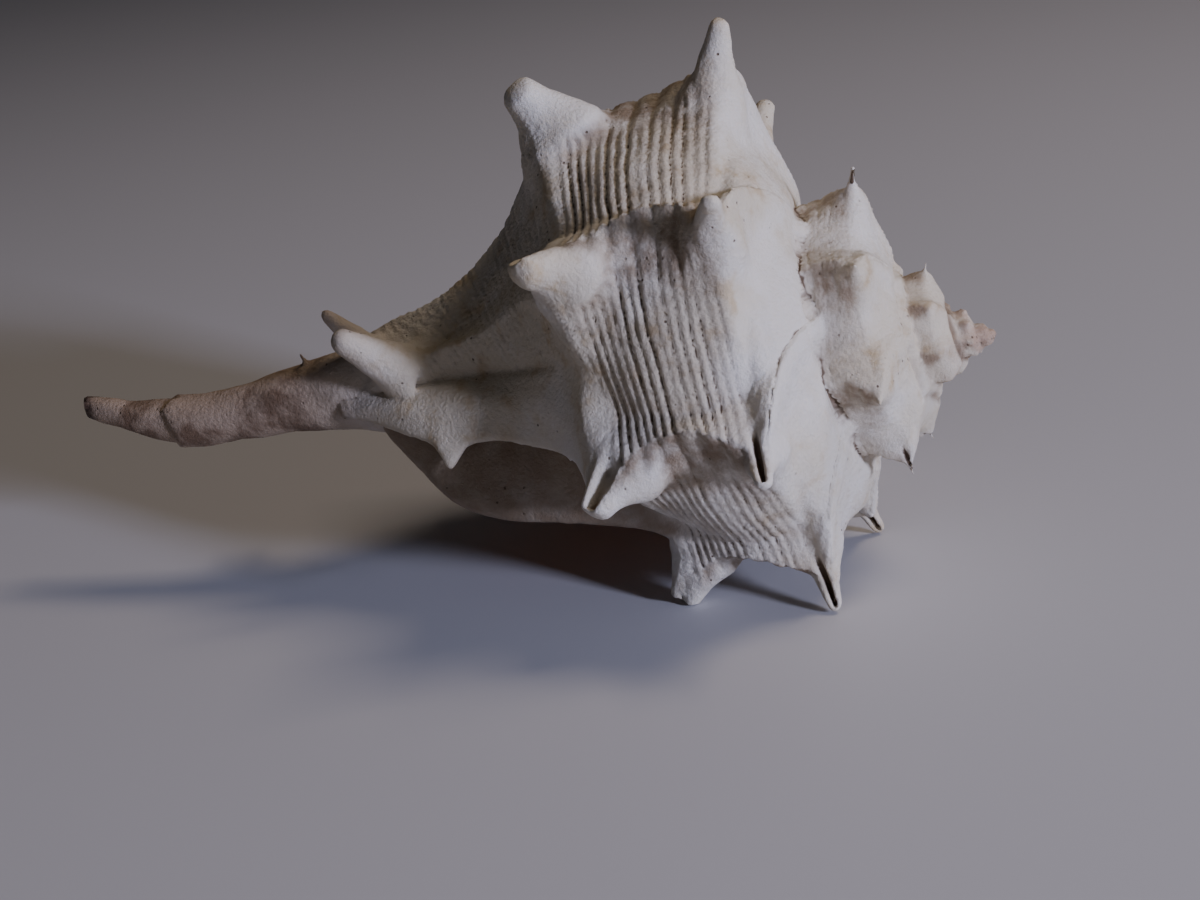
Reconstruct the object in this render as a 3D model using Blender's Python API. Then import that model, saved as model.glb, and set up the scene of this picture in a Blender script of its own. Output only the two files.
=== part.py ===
"""Murex shell, one grown piece: whorls on a spiral, spines on every varix, a long canal and an open aperture.

The shell is modelled round its own axis and then laid down as it rests, on its spines with the aperture below.
In the shell's own frame the apex is at the origin and the canal runs along -X. A point is given by a, its
distance from the apex along the axis, r, its distance from the axis, and psi, the angle round the axis:
0 faces the front (-Y), 90 is up, and psi grows the way the shell grew. Lengths are in millimetres at
growth stage 0 and grow with psi.
"""

import math

import bmesh
import bpy
import numpy as np
from mathutils import Matrix

MM = 0.001

# Growth: everything scales by GROWTH_PER_WHORL each turn, and a varix stands at every VARIX_STEP degrees.
GROWTH_PER_WHORL = 1.89
VARIX_STEP = 51.2
FIRST_CREST = -69.0
LAST_VARIX = 5
LIP_EXTRA_TURN = 6.0
WHORLS = 5.6

# The whorl's outline at psi 0, from the suture to the canal. Each row holds base a and r between varices,
# a and r on a varix's crest, how sharply the crest rises, how far it bends back (degrees), and the share of
# the step to the next varix over which it falls away again.
OUTLINE = (
    (12.3, 8.4, 12.1, 9.5, 2.0, 0.0, 0.05),
    (13.9, 11.6, 13.5, 13.5, 2.0, 0.0, 0.06),
    (15.6, 14.3, 15.0, 17.0, 2.4, 2.0, 0.07),
    (17.3, 16.3, 16.3, 20.9, 2.4, 8.0, 0.10),
    (19.6, 17.5, 19.0, 20.8, 4.0, 4.0, 0.07),
    (22.5, 17.8, 22.1, 19.5, 3.8, 1.0, 0.05),
    (25.5, 17.2, 25.5, 18.9, 3.4, 3.0, 0.05),
    (28.0, 16.0, 28.2, 19.2, 2.9, 8.0, 0.07),
    (30.0, 14.6, 30.8, 20.7, 2.7, 14.5, 0.12),
    (31.8, 13.0, 32.0, 16.0, 2.9, 15.0, 0.18),
    (34.0, 10.8, 34.6, 12.9, 3.0, 13.0, 0.25),
    (37.0, 7.9, 37.8, 10.8, 3.0, 12.0, 0.30),
    (40.0, 5.9, 40.8, 9.6, 3.0, 12.0, 0.30),
    (43.5, 4.6, 44.4, 9.0, 3.0, 12.0, 0.30),
    (47.0, 3.7, 47.8, 7.2, 3.0, 12.0, 0.30),
    (51.0, 3.0, 51.4, 5.2, 3.0, 6.0, 0.25),
    (55.0, 2.2, 55.0, 2.4, 3.0, 0.0, 0.20),
)
SUTURE_A, SHOULDER_A = OUTLINE[0][0], OUTLINE[3][0]
# The ramp between suture and shoulder swells between these shares of the way from varix to varix.
SWELL_FROM, SWELL_TO = 0.5, 0.95
# The early whorls are slimmer and their varices rounder: the share of the width that is left at the apex, the
# growth at which the full width is reached, and how sharp and how long the early varices are.
SLIM_SHARE, SLIM_UNTIL = 0.6, 0.5
EARLY_FROM, EARLY_TO = -130.0, -260.0
EARLY_SHARPNESS, EARLY_FALL, EARLY_STOUTNESS = 2.0, 0.3, 1.3
# Below the lower spines the crest stands out fully on these varices, and by this share on the others.
FLANGED_VARICES = (1,)
PLAIN_SHARE = 0.3
FLANGE_FROM_A = 33.0
FLANGE_FADE = 3.0
# Towards the suture the growth line leads the shoulder, less so in the early whorls and at the lip.
SHOULDER_BAND = 0.6
SUTURE_LEAD = 32.0
LEAD_PER_WHORL = 12.0
LEAD_POWER = 1.05
LEAST_LEAD = 12.0
LIP_LEAD_LOSS = 0.6
# Under the flange of the first varix the older skin is tucked in: from which a, round which angle, and by
# how many millimetres.
TUCK_FROM_A, TUCK_AT, TUCK_HALF_WIDTH, TUCK_DEPTH = 33.0, -54.0, 17.0, 1.9
# The skin never stands further from the axis than r at a, so that the whorls run into the canal.
CANAL_CAP_A = (36.0, 45.0, 50.0, 54.0, 57.0, 60.0, 64.0, 70.0, 80.0)
CANAL_CAP_R = (60.0, 15.0, 8.6, 5.8, 4.4, 3.4, 2.5, 1.7, 1.0)

# The hollow behind the lip: wall thickness inside and at the lip, the inner pillar, how far the hollow
# reaches back round the axis, its middle, and where it starts and ends along the outline.
WALL = 1.5
LIP_WALL = 1.2
FLARE_TURN = 13.0
COLUMELLA_RADIUS = 3.4
POCKET_TURN = 250.0
POCKET_STEP = 6.0
POCKET_MIDDLE_A = 24.0
MOUTH_FROM_A = 15.2
MOUTH_TO_A = 35.5

# Spines. For each row: a and r of tip and root, how many degrees both lie behind the crest, the radius at
# root and tip, how much wider it is along growth and across it, the first varix with one, and the lip's lag.
SPINE_ROWS = {
    "shoulder": dict(
        tip=(16.2, 23.5), lag=9.7, root=(18.0, 16.0), root_lag=15.0, wide=3.7, point=0.75,
        deep=1.3, broad=0.95, first=-15, lip_lag=2.3,
    ),
    "lower": dict(
        tip=(30.6, 21.1), lag=16.5, root=(27.4, 15.5), root_lag=14.0, wide=4.0, point=0.95,
        deep=0.95, broad=1.2, first=0, lip_lag=0.9,
    ),
}
LIP_ROOT_LAG = 2.0
ROUND_FROM = 0.92
# Broken tips, how much thicker a spine is where it broke, and where along it that is.
BROKEN = (("lower", 0), ("shoulder", -5), ("shoulder", -6))
BROKEN_STOUTNESS = 1.4
BROKEN_AT = 0.96
# How far a spine's slit reaches to each side of its middle.
SLIT_WIDTH = 0.9

# The canal's line: x, y, z and radius, and the angle of the slit along it.
CANAL = (
    (-30.0, 0.0, 0.0, 3.0),
    (-40.0, 0.0, 0.0, 4.4),
    (-48.0, 0.0, 0.8, 4.2),
    (-55.0, 0.0, 1.3, 3.4),
    (-60.0, 0.0, 1.0, 2.8),
    (-65.0, 0.0, 0.35, 2.35),
    (-69.4, 0.0, 0.05, 2.15),
    (-73.4, 0.0, 0.45, 2.05),
    (-76.0, 0.0, 1.05, 1.65),
    (-79.0, 0.0, 1.9, 1.35),
    (-80.3, 0.0, 2.25, 1.1),
)
CANAL_SLIT_AT = 215.0
# Small spines by the canal: a, r and psi of the tip and of the root, and the radius at the tip and the root.
CANAL_SPINES = (
    (52.6, 10.2, 29.0, 48.2, 4.2, 24.0, 0.85, 1.8),
    (55.3, 8.8, 60.0, 51.6, 4.6, 56.0, 0.55, 1.7),
    (58.7, 5.2, 62.0, 56.4, 2.0, 58.0, 0.45, 1.1),
    (61.0, 6.4, 138.0, 57.0, 2.2, 130.0, 0.5, 1.6),
    (64.0, 8.4, 185.0, 58.6, 3.0, 180.0, 0.5, 1.8),
)

# The inner lip: a plate that hangs from the front of the last whorl. Each row holds a, the root's distance
# from the axis, the bulge of its front, its edge's y and z, and where its back meets the aperture.
INNER_LIP = (
    (20.0, 9.0, 9.0, -3.0, -11.0, 8.0),
    (25.0, 9.0, 9.0, -4.5, -14.0, 7.0),
    (30.0, 7.6, 7.8, -4.6, -12.6, 6.0),
    (36.0, 5.8, 6.4, -4.4, -11.7, 5.0),
    (41.0, 4.6, 5.6, -4.2, -11.0, 4.4),
    (45.0, 3.8, 4.9, -3.8, -9.4, 4.0),
    (48.0, 3.4, 4.4, -2.8, -6.6, 3.4),
    (51.5, 2.6, 2.8, -1.2, -3.0, 2.6),
)

# The flange of the first varix. Each row holds a, then y and z of the seam with the newer shell, of the
# bulge, and of the free edge.
FLANGE = (
    (30.4, -14.2, 0.8, -15.2, -5.6, -15.2, -10.4),
    (31.6, -12.8, 0.7, -13.4, -4.6, -12.4, -8.2),
    (34.2, -10.7, 0.4, -10.9, -3.0, -9.2, -6.1),
    (37.5, -8.0, 0.5, -8.9, -2.1, -8.0, -5.1),
    (40.1, -6.3, 0.7, -7.9, -1.7, -7.2, -4.5),
    (42.6, -5.3, 0.8, -7.2, -1.7, -6.9, -4.7),
    (44.3, -4.9, 0.8, -6.9, -1.8, -6.9, -6.3),
    (45.6, -4.7, 0.7, -6.5, -1.5, -6.6, -4.4),
    (49.0, -4.0, 0.6, -5.6, -1.1, -5.3, -3.0),
    (52.0, -3.2, 0.5, -4.5, -0.7, -4.1, -1.9),
    (55.0, -2.6, 0.5, -3.4, -0.4, -3.0, -1.2),
)
FLANGE_THICKNESS = 1.0

# How finely the forms are fused into one skin, how often it is smoothed, and how many triangles it keeps.
VOXEL = 0.42
SMOOTH_STEPS = 5
TRIANGLES = 9400

# How the shell lies: rolled and pitched so that it rests on its spines.
REST_ROLL = -19.9
REST_PITCH = -3.5


def blend_rows(rows, count):
    """Rows evenly spaced along a smooth curve through the given ones."""
    p = np.array(rows, float)
    ends = np.vstack([2 * p[0] - p[1], p, 2 * p[-1] - p[-2]])
    fine = []
    for i in range(len(p) - 1):
        t = np.linspace(0, 1, 16, endpoint=False)[:, None]
        p0, p1, p2, p3 = ends[i : i + 4]
        square = 2 * p0 - 5 * p1 + 4 * p2 - p3
        cube = 3 * p1 - p0 - 3 * p2 + p3
        fine.append(0.5 * (2 * p1 + (p2 - p0) * t + square * t**2 + cube * t**3))
    fine = np.vstack(fine + [p[-1:]])
    steps = np.linalg.norm(np.diff(fine[:, :2], axis=0), axis=1)
    along = np.concatenate([[0], np.cumsum(steps)])
    at = np.linspace(0, along[-1], count)
    return np.stack([np.interp(at, along, column) for column in fine.T], axis=1)


def place(a, r, psi):
    """Points in the shell's own frame: the apex is at the origin and the canal runs along -X."""
    turn = np.radians(psi)
    return np.stack(np.broadcast_arrays(-a, -r * np.cos(turn), r * np.sin(turn)), axis=-1)


def growth(psi):
    return GROWTH_PER_WHORL ** (psi / 360.0)


def crest_of(varix):
    return FIRST_CREST + VARIX_STEP * varix + (LIP_EXTRA_TURN if varix == LAST_VARIX else 0.0)


def smooth_step(value, low, high):
    t = np.clip((value - low) / (high - low), 0, 1)
    return t * t * (3 - 2 * t)


def early_share(psi):
    """1 on the whorls near the apex, 0 on the last."""
    return 1 - float(smooth_step(psi, EARLY_TO, EARLY_FROM))


def slim(k):
    """How wide a whorl of growth k is, against its full width."""
    return SLIM_SHARE + (1 - SLIM_SHARE) * smooth_step(k, 0.1, SLIM_UNTIL)


def lead_of(base_a, psi):
    """How far the growth line leads, from the shoulder up to the suture."""
    from_a = SHOULDER_A + SHOULDER_BAND
    up = np.clip((from_a - base_a) / (from_a - SUTURE_A), 0.0, 1.0)
    most = max(LEAST_LEAD, SUTURE_LEAD + LEAD_PER_WHORL * psi / 360.0)
    to_lip = min(1.0, max(0.0, (psi - crest_of(LAST_VARIX - 1)) / VARIX_STEP))
    return most * (1 - LIP_LEAD_LOSS * to_lip) * up**LEAD_POWER


def phase_of(psi):
    """0 just after a varix, 1 on the crest of the next."""
    before_last = crest_of(LAST_VARIX - 1)
    if psi > before_last:
        return min(1.0, (psi - before_last) / (crest_of(LAST_VARIX) - before_last))
    return ((psi - FIRST_CREST) / VARIX_STEP) % 1.0


def flange_share(rows, varix):
    if varix in FLANGED_VARICES:
        return 1.0
    return 1 - (1 - PLAIN_SHARE) * np.clip((rows[:, 0] - FLANGE_FROM_A) / FLANGE_FADE + 0.5, 0, 1)


def crest_share(rows, psi):
    """How much of the crest stands out on the growth line at psi, for each row of the outline."""
    phase = phase_of(psi)
    varix = round((psi - FIRST_CREST) / VARIX_STEP - phase + 1)
    on_ramp = np.clip((SHOULDER_A - rows[:, 0]) / 2.0, 0, 1)
    early = early_share(psi)
    sharpness = rows[:, 4] + (EARLY_SHARPNESS - rows[:, 4]) * early
    rise = (1 - on_ramp) * phase**sharpness + on_ramp * smooth_step(phase, SWELL_FROM, SWELL_TO)
    rise = rise * flange_share(rows, varix)
    if psi > crest_of(LAST_VARIX) - 1e-6:
        return rise
    fall_share = rows[:, 6] + (EARLY_FALL - rows[:, 6]) * early
    fall = np.clip(1 - phase / fall_share, 0, 1) ** 1.5 * flange_share(rows, varix - 1)
    return np.maximum(rise, fall)


def skin_ring(rows, psi):
    """The outer skin along one growth line: a and r, and psi."""
    base, crest = rows[:, 0:2], rows[:, 2:4]
    share = crest_share(rows, psi)
    line = base + (crest - base) * share[:, None]
    turn = psi + lead_of(rows[:, 0], psi) - rows[:, 5] * share
    k = growth(turn)
    under_flange = np.exp(-(((turn - TUCK_AT) / TUCK_HALF_WIDTH) ** 2))
    tuck = TUCK_DEPTH * under_flange * np.clip((line[:, 0] - TUCK_FROM_A) / 3, 0, 1)
    reach = np.minimum(line[:, 1] * k * slim(k), np.interp(line[:, 0] * k, CANAL_CAP_A, CANAL_CAP_R))
    return np.stack([line[:, 0] * k, np.maximum(reach - tuck, 0.6 * reach)], axis=1), turn


def growth_stops(degrees):
    """The growth lines that carry the skin, closer together near each crest and in the last whorls."""
    last = crest_of(LAST_VARIX)
    psi, stops = last - WHORLS * 360.0, []
    while psi < last - 0.3 * degrees:
        stops.append(psi)
        phase = phase_of(psi)
        near_crest = phase > 0.72 or phase < 0.12
        psi += degrees * (0.4 if near_crest else 1.0) * (1.0 if psi > last - 450 else 1.7)
    return stops + [last]


def whorls(columns=96, degrees=2.0):
    """The whorls as one closed skin, with the aperture as a pocket pushed back from the lip."""
    rows = blend_rows(OUTLINE, columns)
    across = columns // 3
    loops = []
    for psi in growth_stops(degrees):
        line, turn = skin_ring(rows, psi)
        core_a = np.linspace(line[-1, 0], line[0, 0], across)
        loops.append(np.vstack([place(line[:, 0], line[:, 1], turn), place(core_a, np.zeros(across), 0.0)]))
    last = crest_of(LAST_VARIX)
    lip, lip_turn = skin_ring(rows, last)
    lip = lip / growth(lip_turn)[:, None]
    base = rows[:, 0:2]
    tangent = np.gradient(base, axis=0)
    tangent /= np.linalg.norm(tangent, axis=1)[:, None]
    inward = np.stack([tangent[:, 1], -tangent[:, 0]], axis=1)
    near_lip = [0.0, 1.5, 3.5, 6.0, 9.0, FLARE_TURN]
    for back in near_lip + list(np.arange(FLARE_TURN + 5.0, POCKET_TURN, POCKET_STEP)):
        flare = max(0.0, 1 - back / FLARE_TURN) ** 1.6
        outer = base + (lip - base) * flare
        turn = lip_turn + (last + lead_of(rows[:, 0], last) - lip_turn) * (1 - flare) - back
        k = growth(turn)
        wall = WALL + (LIP_WALL - WALL) * flare
        line = outer + inward * (wall / k)[:, None]
        shrink = 1 - 0.5 * (back / POCKET_TURN) ** 2
        mouth_a = np.clip(line[:, 0], MOUTH_FROM_A, MOUTH_TO_A)
        a = POCKET_MIDDLE_A + (mouth_a - POCKET_MIDDLE_A) * shrink
        r = COLUMELLA_RADIUS + np.maximum(line[:, 1] - COLUMELLA_RADIUS, 0.4) * shrink
        side = np.linspace(0, 1, across)
        side_a = a[-1] * k[-1] + (a[0] * k[0] - a[-1] * k[-1]) * side
        side_k = k[-1] + (k[0] - k[-1]) * side
        side_turn = turn[-1] + (turn[0] - turn[-1]) * side
        pillar = place(side_a, COLUMELLA_RADIUS * side_k, side_turn)
        room = np.interp(a * k, CANAL_CAP_A, CANAL_CAP_R) - WALL
        reach = np.maximum(np.minimum(r * k, room), COLUMELLA_RADIUS * k)
        loops.append(np.vstack([place(a * k, reach, turn), pillar]))
    return loops


def spine_path(row, varix, steps):
    """Points from the root of a spine, inside the whorl, to its tip, which bends back."""
    spec = SPINE_ROWS[row]
    crest = crest_of(varix)
    k = growth(crest)
    at_lip = varix == LAST_VARIX
    lag = spec["lip_lag"] if at_lip else spec["lag"]
    root_lag = lag + LIP_ROOT_LAG if at_lip else spec["root_lag"]
    width = k * slim(k)
    root = place(spec["root"][0] * k, spec["root"][1] * width, crest - root_lag)
    tip = place(spec["tip"][0] * k, spec["tip"][1] * width, crest - lag)
    knee_a = 0.45 * spec["root"][0] + 0.55 * spec["tip"][0]
    knee_r = 0.4 * spec["root"][1] + 0.6 * spec["tip"][1]
    knee = place(knee_a * k, knee_r * width, crest - 0.5 * lag - 2.0)
    u = steps[:, None]
    return (1 - u) ** 2 * root + 2 * u * (1 - u) * knee + u**2 * tip, k


def spine(row, varix, sides=20):
    """A spine as a tapered tube with a slit along the side that faces new growth."""
    spec = SPINE_ROWS[row]
    broken = (row, varix) in BROKEN
    point = spec["point"] * (BROKEN_STOUTNESS if broken else 1.0)
    stout = 1 + (EARLY_STOUTNESS - 1) * early_share(crest_of(varix))
    u = np.linspace(0, BROKEN_AT if broken else ROUND_FROM, 12)
    if not broken:
        u = np.concatenate([u, [0.96, 0.985, 1.0]])
    path, k = spine_path(row, varix, u)
    tangent = np.gradient(path, axis=0)
    tangent /= np.linalg.norm(tangent, axis=1)[:, None]
    turn = math.radians(crest_of(varix) - spec["lag"])
    ahead = np.array([0.0, math.sin(turn), math.cos(turn)])
    phi = np.linspace(-math.pi, math.pi, sides, endpoint=False)
    loops = []
    for at, centre, out in zip(u, path, tangent):
        front = ahead - out * (ahead @ out)
        front /= np.linalg.norm(front)
        side = np.cross(out, front)
        wide = point + (spec["wide"] - point) * (1 - at) ** 1.7
        wide *= (0.35 + 0.65 * min(1.0, at / 0.3)) * stout
        if at > ROUND_FROM and not broken:
            wide *= math.sqrt(max(0.03, 1 - ((at - ROUND_FROM) / (1 - ROUND_FROM)) ** 2))
        in_slit = np.exp(-((phi * wide * k / SLIT_WIDTH) ** 2))
        reach = (wide * k * (1 - 0.6 * in_slit * min(1.0, max(0.0, (0.99 - at) * 10))))[:, None]
        deep = reach * (1 + (spec["deep"] - 1) * (1 - at))
        broad = reach * (1 + (spec["broad"] - 1) * (1 - at))
        loops.append(centre + deep * np.cos(phi)[:, None] * front + broad * np.sin(phi)[:, None] * side)
    return loops


def canal(sides=20):
    """The canal as a bent tube with a slit pressed in along it."""
    phi = np.linspace(0, 2 * math.pi, sides, endpoint=False)
    apart = (phi - math.radians(CANAL_SLIT_AT) + math.pi) % (2 * math.pi) - math.pi
    loops = []
    for x, y, z, radius in blend_rows(CANAL, 40):
        reach = radius * (1 - 0.55 * np.exp(-((apart / 0.3) ** 2)))
        loops.append(np.stack([np.full(sides, x), y - reach * np.cos(phi), z + reach * np.sin(phi)], axis=1))
    return loops


def canal_spine(tip_a, tip_r, tip_psi, root_a, root_r, root_psi, point, wide, sides=12):
    """A small blunt cone."""
    tip, root = place(tip_a, tip_r, tip_psi), place(root_a, root_r, root_psi)
    out = (tip - root) / np.linalg.norm(tip - root)
    front = np.cross(out, place(0.0, 1.0, tip_psi))
    front /= np.linalg.norm(front)
    side = np.cross(out, front)
    phi = np.linspace(0, 2 * math.pi, sides, endpoint=False)[:, None]
    loops = []
    for u in (0.0, 0.15, 0.3, 0.45, 0.6, 0.75, 0.88, 0.96, 1.0):
        reach = point + (wide - point) * (1 - u) ** 1.5
        if u > 0.88:
            reach *= math.sqrt(max(0.05, 1 - ((u - 0.88) / 0.12) ** 2))
        loops.append(root + (tip - root) * u + reach * (np.cos(phi) * front + np.sin(phi) * side))
    return loops


def plate(sections, sides):
    """A closed plate through smooth outlines, each given as its a and its corners' y and z."""
    loops = []
    for a, corners in sections:
        closed = blend_rows(corners + corners[:1], sides + 1)[:-1]
        loops.append(np.stack([np.full(sides, -a), closed[:, 0], closed[:, 1]], axis=1))
    return loops


def inner_lip():
    sections = []
    for a, root, front, edge_y, edge_z, back in blend_rows(INNER_LIP, 30):
        corners = [
            (-root, 0.12 * edge_z),
            (-front, 0.42 * edge_z),
            (0.5 * (edge_y - front) - 0.7, 0.74 * edge_z),
            (edge_y - 0.9, 0.95 * edge_z),
            (edge_y + 0.2, edge_z),
            (edge_y + 1.4, 0.9 * edge_z),
            (edge_y + 3.0, 0.62 * edge_z),
            (back, -2.2),
            (0.5 * back, 1.5),
        ]
        sections.append((a, corners))
    return plate(sections, 32)


def flange():
    sections = []
    for a, seam_y, seam_z, bulge_y, bulge_z, edge_y, edge_z in blend_rows(FLANGE, 40):
        middle_y, middle_z = 0.5 * (bulge_y + edge_y), 0.5 * (bulge_z + edge_z)
        corners = [
            (0.55 * seam_y, seam_z),
            (seam_y, seam_z),
            (0.5 * (seam_y + bulge_y) - 0.3, 0.5 * (seam_z + bulge_z)),
            (bulge_y, bulge_z),
            (middle_y - 0.15, middle_z),
            (edge_y - 0.1, edge_z),
            (edge_y + 0.5, edge_z - 0.1),
            (middle_y + FLANGE_THICKNESS, middle_z + 0.3),
            (0.6 * bulge_y, bulge_z + 0.2),
        ]
        sections.append((a, corners))
    return plate(sections, 32)


def add_closed(name, loops):
    """A closed mesh through loops of equal length, with a fan of triangles on each end."""
    loops = np.array(loops)
    count, size = loops.shape[:2]
    points = np.vstack([loops.reshape(-1, 3), loops[0].mean(0)[None], loops[-1].mean(0)[None]])
    i, j = np.meshgrid(np.arange(count - 1), np.arange(size), indexing="ij")
    following = (j + 1) % size
    corners = [i * size + j, i * size + following, (i + 1) * size + following, (i + 1) * size + j]
    faces = np.stack(corners, axis=-1).reshape(-1, 4).tolist()
    first, last, base = count * size, count * size + 1, (count - 1) * size
    for n in range(size):
        m = (n + 1) % size
        faces += [(first, m, n), (last, base + n, base + m)]
    mesh = bpy.data.meshes.new(name)
    mesh.from_pydata(points * MM, [], faces)
    mesh.validate()
    obj = bpy.data.objects.new(name, mesh)
    bpy.context.scene.collection.objects.link(obj)
    return obj


def keep_largest(mesh):
    """Drops every loose piece of the mesh but the largest."""
    work = bmesh.new()
    work.from_mesh(mesh)
    left = set(work.verts)
    pieces = []
    while left:
        stack = [left.pop()]
        piece = list(stack)
        while stack:
            for edge in stack.pop().link_edges:
                for vert in edge.verts:
                    if vert in left:
                        left.remove(vert)
                        stack.append(vert)
                        piece.append(vert)
        pieces.append(piece)
    pieces.sort(key=len)
    bmesh.ops.delete(work, geom=[vert for piece in pieces[:-1] for vert in piece], context="VERTS")
    work.to_mesh(mesh)
    work.free()


def evaluated_mesh(obj):
    bpy.context.view_layer.update()
    graph = bpy.context.evaluated_depsgraph_get()
    return bpy.data.meshes.new_from_object(obj.evaluated_get(graph))


def fuse(forms):
    """One skin round all the forms, smoothed a little where they meet."""
    bpy.context.view_layer.update()
    with bpy.context.temp_override(active_object=forms[0], selected_editable_objects=forms):
        bpy.ops.object.join()
    shell = forms[0]
    remesh = shell.modifiers.new("one_skin", "REMESH")
    remesh.mode = "VOXEL"
    remesh.voxel_size = VOXEL * MM
    soften = shell.modifiers.new("soften", "SMOOTH")
    soften.factor = 0.5
    soften.iterations = SMOOTH_STEPS
    skin = evaluated_mesh(shell)
    keep_largest(skin)
    shell.modifiers.clear()
    shell.data = skin
    return shell


def facet(shell):
    """Brings the skin down to the number of triangles that a solid can carry."""
    triangulate = shell.modifiers.new("triangles", "TRIANGULATE")
    triangulate.quad_method = "SHORTEST_DIAGONAL"
    decimate = shell.modifiers.new("facets", "DECIMATE")
    decimate.ratio = TRIANGLES / (2.0 * len(shell.data.polygons))
    shell.data = evaluated_mesh(shell)
    shell.modifiers.clear()


def lay_down(shell):
    """Turns the shell to the way it lies, with the middle of its box's footprint at the origin."""
    roll = Matrix.Rotation(math.radians(REST_ROLL), 4, "X")
    pitch = Matrix.Rotation(math.radians(REST_PITCH), 4, "Y")
    turn = pitch @ roll
    points = np.array([turn @ vert.co for vert in shell.data.vertices])
    low, high = points.min(axis=0), points.max(axis=0)
    middle = (low + high) / 2
    shell.matrix_world = Matrix.Translation((-middle[0], -middle[1], -low[2])) @ turn


def shell_material():
    material = bpy.data.materials.new("chalky_shell")
    material.use_nodes = True
    surface = material.node_tree.nodes["Principled BSDF"]
    surface.inputs["Base Color"].default_value = (0.64, 0.58, 0.50, 1.0)
    surface.inputs["Roughness"].default_value = 0.75
    surface.inputs["Metallic"].default_value = 0.0
    return material


def main():
    for obj in list(bpy.data.objects):
        bpy.data.objects.remove(obj)
    forms = [add_closed("whorls", whorls()), add_closed("canal", canal())]
    forms += [add_closed("inner_lip", inner_lip()), add_closed("flange", flange())]
    for n, spec in enumerate(CANAL_SPINES):
        forms.append(add_closed(f"canal_spine_{n}", canal_spine(*spec)))
    for row, spec in SPINE_ROWS.items():
        for varix in range(spec["first"], LAST_VARIX + 1):
            forms.append(add_closed(f"{row}_spine_{varix}", spine(row, varix)))
    shell = fuse(forms)
    shell.name = "murex_shell"
    facet(shell)
    lay_down(shell)
    shell.data.materials.clear()
    shell.data.materials.append(shell_material())
    shell.data.shade_smooth()


main()
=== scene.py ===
# %% [markdown]
# # A spiny murex shell
# The model is loaded first. Its one solid, murex_shell, says where the shell lies and how big it is. This
# script grows the same shell again with a finer skin, carves its relief and paints it.

# %% Load the frame and keep its box
import math

import bmesh
import bpy
import numpy as np
from mathutils import Matrix, Vector, noise
from mathutils.bvhtree import BVHTree


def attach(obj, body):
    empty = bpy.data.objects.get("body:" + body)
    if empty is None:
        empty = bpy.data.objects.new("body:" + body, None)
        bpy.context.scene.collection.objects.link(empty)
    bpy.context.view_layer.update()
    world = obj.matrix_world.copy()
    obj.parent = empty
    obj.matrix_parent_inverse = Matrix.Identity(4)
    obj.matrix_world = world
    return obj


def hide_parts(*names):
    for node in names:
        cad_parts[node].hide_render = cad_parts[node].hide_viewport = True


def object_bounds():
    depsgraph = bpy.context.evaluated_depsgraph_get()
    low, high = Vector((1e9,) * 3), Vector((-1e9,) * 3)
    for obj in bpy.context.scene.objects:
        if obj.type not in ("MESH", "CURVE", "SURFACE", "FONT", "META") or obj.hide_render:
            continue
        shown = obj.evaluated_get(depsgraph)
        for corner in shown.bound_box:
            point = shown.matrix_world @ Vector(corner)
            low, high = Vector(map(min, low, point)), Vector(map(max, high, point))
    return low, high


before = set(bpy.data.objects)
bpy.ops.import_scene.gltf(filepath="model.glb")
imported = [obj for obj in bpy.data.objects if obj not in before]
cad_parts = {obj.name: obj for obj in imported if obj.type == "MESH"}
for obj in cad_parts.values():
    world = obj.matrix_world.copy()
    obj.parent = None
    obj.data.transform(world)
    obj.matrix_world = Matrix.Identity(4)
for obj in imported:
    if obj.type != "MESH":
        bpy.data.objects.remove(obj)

MM = 0.001
cad_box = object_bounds()
print("solid's box in mm:", [[round(c / MM, 1) for c in corner] for corner in cad_box])

# %% [markdown]
# ## How a murex grows
# A snail adds shell along one edge, the lip, while it turns round its axis and grows. So the whole shell is
# one outline, carried round a spiral that widens by a fixed factor each turn. Now and then the snail rests
# and flares its lip outward: that leaves a raised line, a varix, with a spine where the lip was pulled out.
# A sweep in code suits this better than sculpting, because every whorl is then the same shape, only larger.
# A point has three coordinates: a, its distance from the apex along the axis; r, its distance from the axis;
# and psi, the angle round it, which is 0 at the front and 90 on top. Lengths are in millimetres.

# %% The spiral
GROWTH_PER_WHORL = 1.89
VARIX_STEP = 51.2
FIRST_CREST = -69.0
LAST_VARIX = 5
LIP_EXTRA_TURN = 6.0
WHORLS = 5.6


def growth(psi):
    return GROWTH_PER_WHORL ** (psi / 360.0)


def crest_of(varix):
    return FIRST_CREST + VARIX_STEP * varix + (LIP_EXTRA_TURN if varix == LAST_VARIX else 0.0)


def phase_of(psi):
    """0 just after a varix, 1 on the crest of the next."""
    before_last = crest_of(LAST_VARIX - 1)
    if psi > before_last:
        return min(1.0, (psi - before_last) / (crest_of(LAST_VARIX) - before_last))
    return ((psi - FIRST_CREST) / VARIX_STEP) % 1.0


def place(a, r, psi):
    """Points in the shell's own frame: the apex is at the origin and the canal runs along -X."""
    turn = np.radians(psi)
    return np.stack(np.broadcast_arrays(-a, -r * np.cos(turn), r * np.sin(turn)), axis=-1)


print("growth over the last whorl:", GROWTH_PER_WHORL, "varices per whorl:", round(360 / VARIX_STEP, 1))

# %% [markdown]
# ## The outline of a whorl
# Two outlines are enough: the plain one between two varices, and the flared one on a varix's crest. The skin
# goes from the first to the second as it nears a crest, slowly and then steeply, and falls back just after.
# The crest also bends back against growth, most of all where a spine leaves it.

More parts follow.
